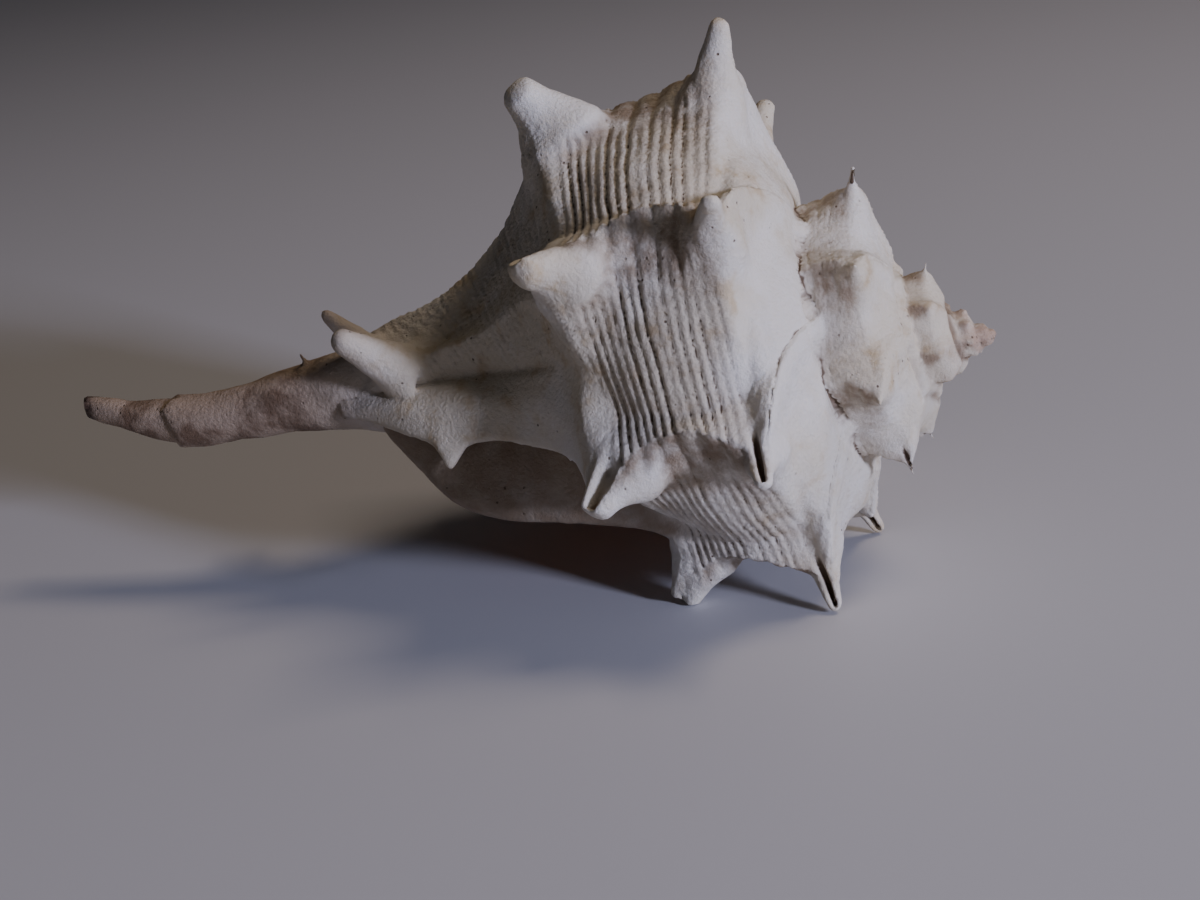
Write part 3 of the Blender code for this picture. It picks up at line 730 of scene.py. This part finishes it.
# %% Facts for every point of the skin
def facts_near(points, chosen):
    """Each point's facts, taken from the nearest of the chosen triangles, and its distance from them."""
    faces = form_faces[chosen]
    tree = BVHTree.FromPolygons(form_points.tolist(), faces.tolist())
    found = np.empty(len(points), np.int64)
    spots = np.empty((len(points), 3))
    away = np.empty(len(points))
    for n, point in enumerate(points):
        spots[n], _, found[n], away[n] = tree.find_nearest(Vector(point))
    a, b, c = (form_points[faces[found, i]] for i in range(3))
    ab, ac, ap = b - a, c - a, spots - a
    d00, d01, d11 = (ab * ab).sum(1), (ab * ac).sum(1), (ac * ac).sum(1)
    d20, d21 = (ap * ab).sum(1), (ap * ac).sum(1)
    area = np.maximum(d00 * d11 - d01 * d01, 1e-18)
    v = np.clip((d11 * d20 - d01 * d21) / area, 0, 1)
    w = np.clip((d00 * d21 - d01 * d20) / area, 0, 1)
    weights = np.stack([np.clip(1 - v - w, 0, 1), v, w], axis=1)
    weights /= weights.sum(1)[:, None]
    facts = (form_facts[faces[found]] * weights[:, :, None]).sum(1)
    facts[:, 4] = form_facts[faces[found, 0], 4]
    return facts, away


def neighbour_mean(mesh):
    """A function for the mean of each column over each point's neighbours."""
    edges = edge_ends(mesh)
    one, other = edges.T
    size = len(mesh.vertices)
    count = np.maximum(np.bincount(edges.reshape(-1), minlength=size), 1)

    def mean(values):
        columns = []
        for column in values.T:
            total = np.bincount(one, column[other], size) + np.bincount(other, column[one], size)
            columns.append(total / count)
        return np.stack(columns, axis=1)

    return mean


points = point_values(skin, "co") / MM
on_whorls = form_facts[form_faces[:, 0], 4] == KINDS["whorls"]
facts, from_whorls = facts_near(points, on_whorls)
other_facts, from_others = facts_near(points, ~on_whorls)
other = from_others < from_whorls
grown, across, crest = facts[:, 0], facts[:, 1], facts[:, 2]
inside = np.where(other, other_facts[:, 3], facts[:, 3])
kind = np.where(other, other_facts[:, 4], KINDS["whorls"]).astype(int)
k_here = growth(grown)
phase = ((grown - FIRST_CREST) / VARIX_STEP) % 1.0
print("points by form:", {name: int((kind == number).sum()) for name, number in KINDS.items()})

# %% [markdown]
# ## Soft joins
# A spine isn't stuck on: the lip bulged out there, so its foot runs into the whorl with a hollow curve. The
# skin is smoothed where a spine, the canal or the start of the flange meets a whorl, and nowhere else.

# %% Round the joins
FILLET_REACH, FILLET_ROUNDS, FILLET_FORCE = 0.9, 90, 0.8
# Behind a spine, between these shares of the way to its crest, the hollow curve reaches further.
BEHIND_FROM, BEHIND_TO, BEHIND_REACH = 0.3, 0.86, 2.0
BEHIND_FADE_IN, BEHIND_FADE_OUT = 0.15, 0.14
mean_of = neighbour_mean(skin)
behind = smooth_step(phase, BEHIND_FROM, BEHIND_FROM + BEHIND_FADE_IN)
behind *= 1 - smooth_step(phase, BEHIND_TO - BEHIND_FADE_OUT, BEHIND_TO)
behind *= other_facts[:, 4] == KINDS["spine"]
reach = FILLET_REACH * (1 + BEHIND_REACH * behind) * np.minimum(1, k_here)
at_join = np.exp(-(((from_whorls + from_others) / reach) ** 2))
near_body = (other_facts[:, 4] == KINDS["flange"]) & (-points[:, 0] < FLANGE_FROM_A)
at_join *= np.isin(other_facts[:, 4], (KINDS["spine"], KINDS["canal"])) | near_body
for _ in range(FILLET_ROUNDS):
    points += at_join[:, None] * FILLET_FORCE * (mean_of(points) - points)
move_points(skin, points)
print("points in the joins:", int((at_join > 0.3).sum()))

# %% [markdown]
# ## Relief
# Spiral cords run round the whorl between the two rows of spines, a millimetre apart. The grooves between
# them are stitched with pits, and turn into wide folds on the flare of the next varix. Lower down they are
# fine and shallow. The shoulder has only growth lines and a seam along each old lip; the canal is lumpy.
# All this is carved into the skin, because a bump map would leave the outline too smooth.

# %% Carve the relief
# Depths are in millimetres, places along the outline too. A step is the way from varix to varix.
CORD_PITCH, CORD_DEPTH = 0.81, 0.36
CORDS_FROM, CORDS_TO = 10.6, 21.8
FINE_PITCH, FINE_DEPTH = 0.74, 0.12
FINE_END_FROM, FINE_END_TO = 40.0, 46.0
FOLD_DEPTH = 0.2
FLARE_FROM, FLARE_TO = 0.52, 0.9
PITS_PER_STEP = 26.0
SUTURE_AT, SUTURE_HALF_WIDTH, SUTURE_DEPTH = 1.4, 0.8, 0.5
GROWTH_LINES_PER_STEP, GROWTH_LINE_DEPTH = 34.0, 0.04
SEAM_DEPTH, SEAM_HALF_WIDTH = 0.32, 0.02
CANAL_LAYER_AT, CANAL_LAYER, CANAL_LUMPS = 71.5, 0.34, 0.2
ROUGHNESS, LUMPS = 0.06, 0.09
# The early whorls are worn smooth: the relief sets in here.
RELIEF_FROM, RELIEF_TO = -560.0, -330.0


def noise_at(points, size, seed):
    """Smooth noise from -1 to 1 with lumps of the given size in millimetres."""
    offset = Vector((seed * 17.3, seed * 5.1, seed * 9.7))
    return np.array([noise.noise(Vector(point) / size + offset) for point in points])


wander = noise_at(points, 5.0, 1)
fine_noise = noise_at(points, 1.1, 2)
outside = 1 - smooth_step(inside, 0.0, 0.3)
from_apex = -points[:, 0]
on_whorl = (1 - smooth_step(from_whorls, 0.3, 2.0)) * outside
on_whorl *= ~np.isin(kind, (KINDS["inner_lip"], KINDS["flange"], KINDS["canal"]))
by_flange = (other_facts[:, 4] == KINDS["flange"]) * (1 - smooth_step(from_others, 0.4, 1.4))
on_whorl *= 1 - by_flange
past_cords = smooth_step(across, CORDS_TO - 1.0, CORDS_TO + 1.0)
in_band = smooth_step(across, CORDS_FROM - 1.2, CORDS_FROM + 0.6) * (1 - past_cords)
below_band = past_cords * (1 - smooth_step(across, FINE_END_FROM, FINE_END_TO))
on_flare = smooth_step(phase, FLARE_FROM, FLARE_TO)


def groove(across, pitch, width):
    """1 in the middle of each groove, falling to 0 on the cords between."""
    from_cord = np.abs(((across / pitch) % 1.0) - 0.5) * 2
    return np.exp(-(((1 - from_cord) / width) ** 2))


late = smooth_step(grown, RELIEF_FROM, RELIEF_TO)
stitch = 0.78 + 0.22 * np.cos(2 * math.pi * (phase * PITS_PER_STEP + 1.8 * fine_noise + across * 0.37))
cord_field = across + 0.18 * wander + 0.12 * noise_at(points, 2.4, 4) + 0.05 * fine_noise
groove_number = np.round(cord_field / CORD_PITCH)
groove_share = 0.72 + 0.36 * np.sin(groove_number * 2.399) * np.cos(groove_number * 1.13)
uneven = np.clip(groove_share + 0.35 * wander, 0.3, 1.3)
cut = groove(cord_field, CORD_PITCH, 0.36) * stitch * uneven
folds = 0.5 + 0.5 * np.cos(2 * math.pi * cord_field / (2 * CORD_PITCH))
relief = -k_here * in_band * (CORD_DEPTH * cut * (1 - 0.8 * on_flare) + FOLD_DEPTH * folds * on_flare)
relief -= FINE_DEPTH * groove(cord_field, FINE_PITCH, 0.45) * below_band * stitch * uneven
lines = np.sin(2 * math.pi * (phase * GROWTH_LINES_PER_STEP + 1.1 * wander))
relief += GROWTH_LINE_DEPTH * lines * (1 - in_band)
from_crest = (phase + 0.012 * fine_noise + 0.5) % 1.0 - 0.5
on_ramp = smooth_step(across, 1.0, 2.5) * (1 - smooth_step(across, 8.0, 10.0))
relief -= SEAM_DEPTH * k_here * on_ramp * np.exp(-((from_crest / SEAM_HALF_WIDTH) ** 2))
relief *= on_whorl * late
at_suture = np.exp(-(((across - SUTURE_AT) / SUTURE_HALF_WIDTH) ** 2)) * on_whorl
relief -= SUTURE_DEPTH * np.maximum(k_here, 0.4) * at_suture * (1 + 0.5 * fine_noise)
on_canal = (kind == KINDS["canal"]) * smooth_step(from_apex, 50.0, 56.0)
layer_edge = CANAL_LAYER_AT + 1.2 * wander + 0.5 * fine_noise
layered = 1 - smooth_step(from_apex, layer_edge - 0.25, layer_edge + 0.25)
relief += on_canal * (CANAL_LAYER * layered - 0.5 * CANAL_LAYER)
relief += on_canal * CANAL_LUMPS * noise_at(points, 3.2, 5)
relief += ROUGHNESS * fine_noise * outside
relief += LUMPS * noise_at(points, 2.6, 3) * outside
print("deepest groove:", round(float(-relief.min()), 2), "mm")

# %% [markdown]
# ## Slits
# The gutter of a spine never closed quite, so a narrow slit runs up its front. The skin is pressed in there,
# on points that face forward, and the relief stops. Shade is painted into the slit as well, darker on the
# shoulder spines than on the lower ones.

# %% Carve the slits
# Depth in millimetres, from where to where along the spine, and the growth below which spines have none.
SLIT_DEPTH = 1.0
SLIT_FROM, SLIT_TO = 0.3, 0.9
SLIT_LEAST_GROWTH = 0.42
# How far from a spine's line its skin may be, and the number of spots on the line.
SLIT_ROOM, SLIT_SPOTS = 4.5, 70


def slit_shift(points, normals):
    """How far each point moves into a slit, how much it is in one, and how much shade is painted there."""
    shift, share, shade_in_slit = np.zeros_like(points), np.zeros(len(points)), np.zeros(len(points))
    for path, cross, k, half_width, slit_shade_strength in slits:
        if k < SLIT_LEAST_GROWTH:
            continue
        spot = np.linspace(0, len(path) - 1, SLIT_SPOTS)
        line = np.stack([np.interp(spot, np.arange(len(path)), column) for column in path.T], axis=1)
        nearest_loop = np.round(spot).astype(int)
        room = SLIT_ROOM * k
        near = np.flatnonzero(((points > line.min(0) - room) & (points < line.max(0) + room)).all(1))
        away = points[near, None] - line[None]
        nearest = (away**2).sum(2).argmin(1)
        offset = away[np.arange(len(near)), nearest]
        front, side = cross[nearest_loop[nearest], 0], cross[nearest_loop[nearest], 1]
        aside, ahead = (offset * side).sum(1), (offset * front).sum(1)
        along = nearest / (len(spot) - 1)
        facing = (normals[near] * front).sum(1)
        narrow = half_width * k**0.5 * (1 - 0.45 * smooth_step(along, 0.4, SLIT_TO))
        here = np.exp(-((aside / narrow) ** 4)) * smooth_step(facing, 0.1, 0.5)
        here *= smooth_step(along, SLIT_FROM, SLIT_FROM + 0.15)
        here *= 1 - smooth_step(along, SLIT_TO - 0.12, SLIT_TO)
        here *= (ahead > 0) & (ahead < 0.9 * room)
        deeper = here > share[near]
        shift[near[deeper]] = -(front * here[:, None])[deeper] * SLIT_DEPTH * k**0.5
        share[near[deeper]] = here[deeper]
        shade_in_slit[near[deeper]] = here[deeper] * slit_shade_strength
    return shift, share, shade_in_slit


normals = point_values(skin, "normal")
into_slit, in_slit, slit_shade = slit_shift(points, normals)
carved = points + normals * (relief * (1 - in_slit))[:, None] + into_slit
move_points(skin, carved)
print("points in the slits:", int((in_slit > 0.5).sum()))

# %% [markdown]
# ## Paint maps
# The finish changes over the shell: chalk white where it was rubbed, beige on the canal and dark at its tip,
# tan at the apex, and orange inside the mouth. Brown is painted shade in the hollows, grooves and slits, on
# the flares and on the inner lip under the flange, with some dirt in the grooves and stain on the flares.
# Each is a number kept on the points, by which the material mixes its colours.

# %% Keep the maps on the points
def hollowness(points, rounds):
    """How far each point lies below its smoothed surroundings: positive in hollows."""
    smooth = points.copy()
    for _ in range(rounds):
        smooth = 0.5 * smooth + 0.5 * mean_of(smooth)
    return ((smooth - points) * normals).sum(1)


def add_map(mesh, name, values):
    layer = mesh.attributes.new(name, "FLOAT", "POINT")
    layer.data.foreach_set("value", np.clip(values, 0, 1).astype(np.float32))


fine_hollow = hollowness(carved, 6)
wide_hollow = hollowness(carved, 60)
# From the apex: where the canal's colour sets in and the apex tan ends. Then the length of the dark tip.
CANAL_COLOUR_FROM, CANAL_COLOUR_TO = 46.0, 60.0
APEX_FROM, APEX_TO = 1.5, 5.5
DARK_TIP = 1.3
tip_from = from_apex.max() - DARK_TIP
# Painted shade with some dirt: darker in the fine grooves.
add_map(skin, "groove_shade_and_dirt", 0.5 + 2.2 * fine_hollow)
# Painted shade: darker in the wide hollows and along the sutures of the worn early whorls.
early_suture = np.exp(-(((across - 1.2) / 1.8) ** 2)) * (1 - late) * (1 + 0.6 * fine_noise)
add_map(skin, "hollow_shade", 0.5 + 0.55 * wide_hollow + 0.4 * early_suture)
add_map(skin, "glaze", inside)
add_map(skin, "canal", smooth_step(from_apex, CANAL_COLOUR_FROM, CANAL_COLOUR_TO))
add_map(skin, "apex", 1 - smooth_step(from_apex, APEX_FROM, APEX_TO))
# Painted shade in the spines' slits.
add_map(skin, "slit", slit_shade)
# Painted shadow of the flange on the inner lip, softened towards its edges.
on_lip = (kind == KINDS["inner_lip"]).astype(float)[:, None]
for _ in range(12):
    on_lip = mean_of(on_lip)
add_map(skin, "lip", on_lip[:, 0])
add_map(skin, "tip", smooth_step(from_apex + 0.25 * fine_noise, tip_from, tip_from + 0.5))
# Painted shade with some stain over the cord band, most on the flare before each crest.
add_map(skin, "flare", np.maximum(smooth_step(phase, 0.35, 0.8), 0.4 + 0.2 * wander) * on_whorl * in_band)
print("maps:", [layer.name for layer in skin.attributes if layer.data_type == "FLOAT"])

# %% [markdown]
# ## Thinning the mesh
# The carved skin has more points than it needs on smooth parts. Decimate takes them out where the surface is
# flat and leaves the grooves alone.

# %% Thin out and lay down
MOST_TRIANGLES = 196000
# How the shell lies, in degrees: turned round its axis, and canal against apex.
REST_ROLL, REST_PITCH = -19.9, -3.5


def thin_out(obj, most):
    triangulate = obj.modifiers.new("triangles", "TRIANGULATE")
    triangulate.quad_method = "SHORTEST_DIAGONAL"
    apply_modifiers(obj)
    if len(obj.data.polygons) > most:
        decimate = obj.modifiers.new("thin", "DECIMATE")
        decimate.ratio = most / len(obj.data.polygons)
        apply_modifiers(obj)


def lay_down(obj):
    """Turns the shell the way it lies and moves it into the solid's box."""
    roll = Matrix.Rotation(math.radians(REST_ROLL), 4, "X")
    pitch = Matrix.Rotation(math.radians(REST_PITCH), 4, "Y")
    obj.data.transform(pitch @ roll)
    here = point_values(obj.data, "co")
    low, high = here.min(axis=0), here.max(axis=0)
    cad_low, cad_high = (np.array(corner) for corner in cad_box)
    shift = (cad_low + cad_high - low - high) / 2
    shift[2] = cad_low[2] - low[2]
    obj.data.transform(Matrix.Translation(shift.tolist()))
    return Matrix.Translation(shift.tolist()) @ pitch @ roll


thin_out(shell, MOST_TRIANGLES)
laid = lay_down(shell)
shell.data.name = "murex_skin"
shell.name = "murex_skin"
shell.data.shade_smooth()
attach(shell, "root")
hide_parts("murex_shell")
print("skin of", len(shell.data.polygons), "triangles")

# %% [markdown]
# ## Chalky shell
# The shell is calcium carbonate, laid down in layers and then weathered on a beach until its skin was dull.
# That gives a soft, nearly matt surface, cream to white, with a little light passing under it. The inside
# kept its glaze: it is smooth, glossy and orange. One material mixes all this by the maps, so no seam shows.

# %% Colours and a helper for nodes
def linear(hex_colour):
    """An sRGB hex colour as linear red, green, blue and alpha."""
    parts = [int(hex_colour[i : i + 2], 16) / 255 for i in (1, 3, 5)]
    return [c / 12.92 if c <= 0.04045 else ((c + 0.055) / 1.055) ** 2.4 for c in parts] + [1.0]


def add_node(tree, kind, settings=None, links=None):
    """Adds a node, sets its properties and inputs, and links its inputs."""
    node = tree.nodes.new(kind)
    for name, value in (settings or {}).items():
        if isinstance(name, str) and hasattr(node, name):
            setattr(node, name, value)
        else:
            node.inputs[name].default_value = value
    for name, source in (links or {}).items():
        tree.links.new(source, node.inputs[name])
    return node


# %% The shell's material
CHALK = "#D2C7B1"
BLEACHED = "#DDD7CB"
CREAM = "#C0AB88"
# Painted shade, with some dirt, for the fine grooves and the pits.
SHADE_AND_DIRT_BROWN = "#6E5B48"
# Painted shade for the wide hollows, the flares and the inner lip, with some stain on the flares.
SHADE_AND_STAIN = "#8F7C66"
CANAL_BEIGE = "#A38E79"
CANAL_STAIN = "#6F5844"
CANAL_TIP = "#4A372B"
APEX_TAN = "#AF957F"
# Painted shade in the slits.
SLIT_SHADE = "#54412F"
GLAZE_ORANGE = "#D68A58"


def mix_colour(tree, factor, below, above):
    return add_node(tree, "ShaderNodeMix", {"data_type": "RGBA"}, {0: factor, 6: below, 7: above}).outputs[2]


def flat_colour(tree, hex_colour):
    node = tree.nodes.new("ShaderNodeRGB")
    node.outputs[0].default_value = linear(hex_colour)
    return node.outputs[0]


def shell_material():
    material = bpy.data.materials.new("weathered_calcium_carbonate")
    material.use_nodes = True
    tree = material.node_tree
    surface = tree.nodes["Principled BSDF"]
    surface.inputs["IOR"].default_value = 1.53

    def attribute(name):
        return add_node(tree, "ShaderNodeAttribute", {"attribute_name": name}).outputs["Fac"]

    def spread(value, low, high):
        settings = {"interpolation_type": "SMOOTHSTEP", "From Min": low, "From Max": high}
        return add_node(tree, "ShaderNodeMapRange", settings, {"Value": value}).outputs["Result"]

    def times(one, other):
        return add_node(tree, "ShaderNodeMath", {"operation": "MULTIPLY"}, {0: one, 1: other}).outputs[0]

    def blotches(size, detail=4.0):
        place = add_node(tree, "ShaderNodeTexCoord").outputs["Object"]
        settings = {"Scale": 1.0 / (size * MM), "Detail": detail, "Roughness": 0.6}
        return add_node(tree, "ShaderNodeTexNoise", settings, {"Vector": place}).outputs["Fac"]

    def specks(apart):
        place = add_node(tree, "ShaderNodeTexCoord").outputs["Object"]
        settings = {"Scale": 1.0 / (apart * MM)}
        return add_node(tree, "ShaderNodeTexVoronoi", settings, {"Vector": place}).outputs["Distance"]

    def painted(colour, share, hex_colour):
        return mix_colour(tree, share, colour, flat_colour(tree, hex_colour))

    patches = blotches(14.0)
    mottle = blotches(2.2)
    grain = blotches(0.35, 6.0)
    pits = times(spread(specks(1.1), 0.13, 0.05), spread(blotches(6.0), 0.47, 0.6))
    cream_patches = times(spread(mottle, 0.50, 0.72), spread(patches, 0.62, 0.40))
    canal = painted(flat_colour(tree, CANAL_BEIGE), spread(blotches(4.0), 0.46, 0.66), CANAL_STAIN)
    colour = painted(flat_colour(tree, CHALK), spread(patches, 0.42, 0.62), BLEACHED)
    colour = painted(colour, cream_patches, CREAM)
    # Painted shade with some stain over the cord band, most on the flares.
    colour = painted(colour, times(attribute("flare"), spread(mottle, 0.2, 0.7)), SHADE_AND_STAIN)
    colour = mix_colour(tree, attribute("canal"), colour, canal)
    colour = painted(colour, attribute("tip"), CANAL_TIP)
    # Painted shadow of the flange on the inner lip.
    colour = painted(colour, times(attribute("lip"), spread(mottle, -0.5, 0.7)), SHADE_AND_STAIN)
    colour = painted(colour, times(attribute("apex"), spread(mottle, 0.35, 0.6)), APEX_TAN)
    # Painted shade in the wide hollows and along the early sutures.
    colour = painted(colour, spread(attribute("hollow_shade"), 0.55, 0.95), SHADE_AND_STAIN)
    # Painted shade with some dirt in the fine grooves, and in the pits below.
    colour = painted(colour, spread(attribute("groove_shade_and_dirt"), 0.59, 0.88), SHADE_AND_DIRT_BROWN)
    colour = painted(colour, pits, SHADE_AND_DIRT_BROWN)
    # Painted shade in the slits.
    colour = painted(colour, spread(attribute("slit"), 0.25, 0.7), SLIT_SHADE)
    colour = painted(colour, spread(attribute("glaze"), 0.3, 1.0), GLAZE_ORANGE)
    tree.links.new(colour, surface.inputs["Base Color"])
    chalk_to_glaze = {"From Min": 0.3, "From Max": 0.9, "To Min": 0.72, "To Max": 0.16}
    dull = add_node(tree, "ShaderNodeMapRange", chalk_to_glaze, {"Value": attribute("glaze")})
    tree.links.new(dull.outputs["Result"], surface.inputs["Roughness"])
    height = add_node(tree, "ShaderNodeMath", {"operation": "SUBTRACT"}, {0: grain, 1: pits}).outputs[0]
    bump = add_node(tree, "ShaderNodeBump", {"Strength": 0.7, "Distance": 0.00024}, {"Height": height})
    tree.links.new(bump.outputs["Normal"], surface.inputs["Normal"])
    surface.inputs["Subsurface Weight"].default_value = 0.08
    surface.inputs["Subsurface Radius"].default_value = (0.0012, 0.0008, 0.0005)
    return material


shell.data.materials.clear()
shell.data.materials.append(shell_material())
print("material:", shell.data.materials[0].name)

# %% [markdown]
# ## The set
# A pale floor and two lights: a strong cool one low on the right, as from a window, and a weaker warm one
# above. The camera stands where the picture was taken: a little above the floor and turned slightly.

# %% Floor, light and camera
FLOOR_HEX = "#C9C9CC"
FLOOR_RADIUS = 2.5
LENS_MM, SENSOR_MM = 66.7, 36.0
# Each light: place and size in metres, power in watts, and colour.
LIGHTS = {
    "window": ((0.58, -0.35, 0.18), 0.09, 4.9, "#D6DBFF"),
    "ceiling": ((0.33, 0.10, 0.58), 0.2, 1.3, "#FFEBD8"),
}
LIGHT_TARGET = (0.0, 0.0, 0.01)
WORLD_HEX, WORLD_STRENGTH = "#D4D6DE", 0.03


def add_floor():
    sides = 96
    turns = np.linspace(0, 2 * math.pi, sides + 1)[:-1]
    rim = [(FLOOR_RADIUS * math.cos(t), FLOOR_RADIUS * math.sin(t), 0.0) for t in turns]
    mesh = bpy.data.meshes.new("floor")
    mesh.from_pydata(rim, [], [list(range(sides))])
    floor = add_object("floor", mesh)
    material = bpy.data.materials.new("matt_white_laminate")
    material.use_nodes = True
    surface = material.node_tree.nodes["Principled BSDF"]
    surface.inputs["Base Color"].default_value = linear(FLOOR_HEX)
    surface.inputs["Roughness"].default_value = 0.6
    mesh.materials.append(material)


def add_area_light(name, place_m, size_m, watts, hex_colour):
    data = bpy.data.lights.new(name, "AREA")
    data.shape = "SQUARE"
    data.size = size_m
    data.energy = watts
    data.color = linear(hex_colour)[:3]
    light = add_object(name, data)
    light.location = place_m
    aim = Vector(LIGHT_TARGET) - Vector(place_m)
    light.rotation_euler = aim.to_track_quat("-Z", "Y").to_euler()


def add_camera():
    """The camera as it stood round the shell's own frame, carried over by the way the shell lies."""
    own_place = Vector((17.924, -175.251, -12.853)) * MM
    right = Vector((0.95488, 0.28407, -0.08667))
    up = Vector((0.09383, -0.01165, 0.99552))
    turn = Matrix((right, up, right.cross(up))).transposed().to_4x4()
    camera = add_object("camera", bpy.data.cameras.new("camera"))
    camera.data.sensor_width = SENSOR_MM
    camera.data.lens = LENS_MM
    camera.data.clip_start = 0.01
    camera.matrix_world = laid @ Matrix.Translation(own_place) @ turn
    bpy.context.scene.camera = camera
    return camera


add_floor()
for name, settings in LIGHTS.items():
    add_area_light(name, *settings)
world = bpy.data.worlds.new("studio")
world.use_nodes = True
background = world.node_tree.nodes["Background"]
background.inputs["Color"].default_value = linear(WORLD_HEX)
background.inputs["Strength"].default_value = WORLD_STRENGTH
bpy.context.scene.world = world
camera = add_camera()
print("camera at", [round(c, 3) for c in camera.matrix_world.translation])
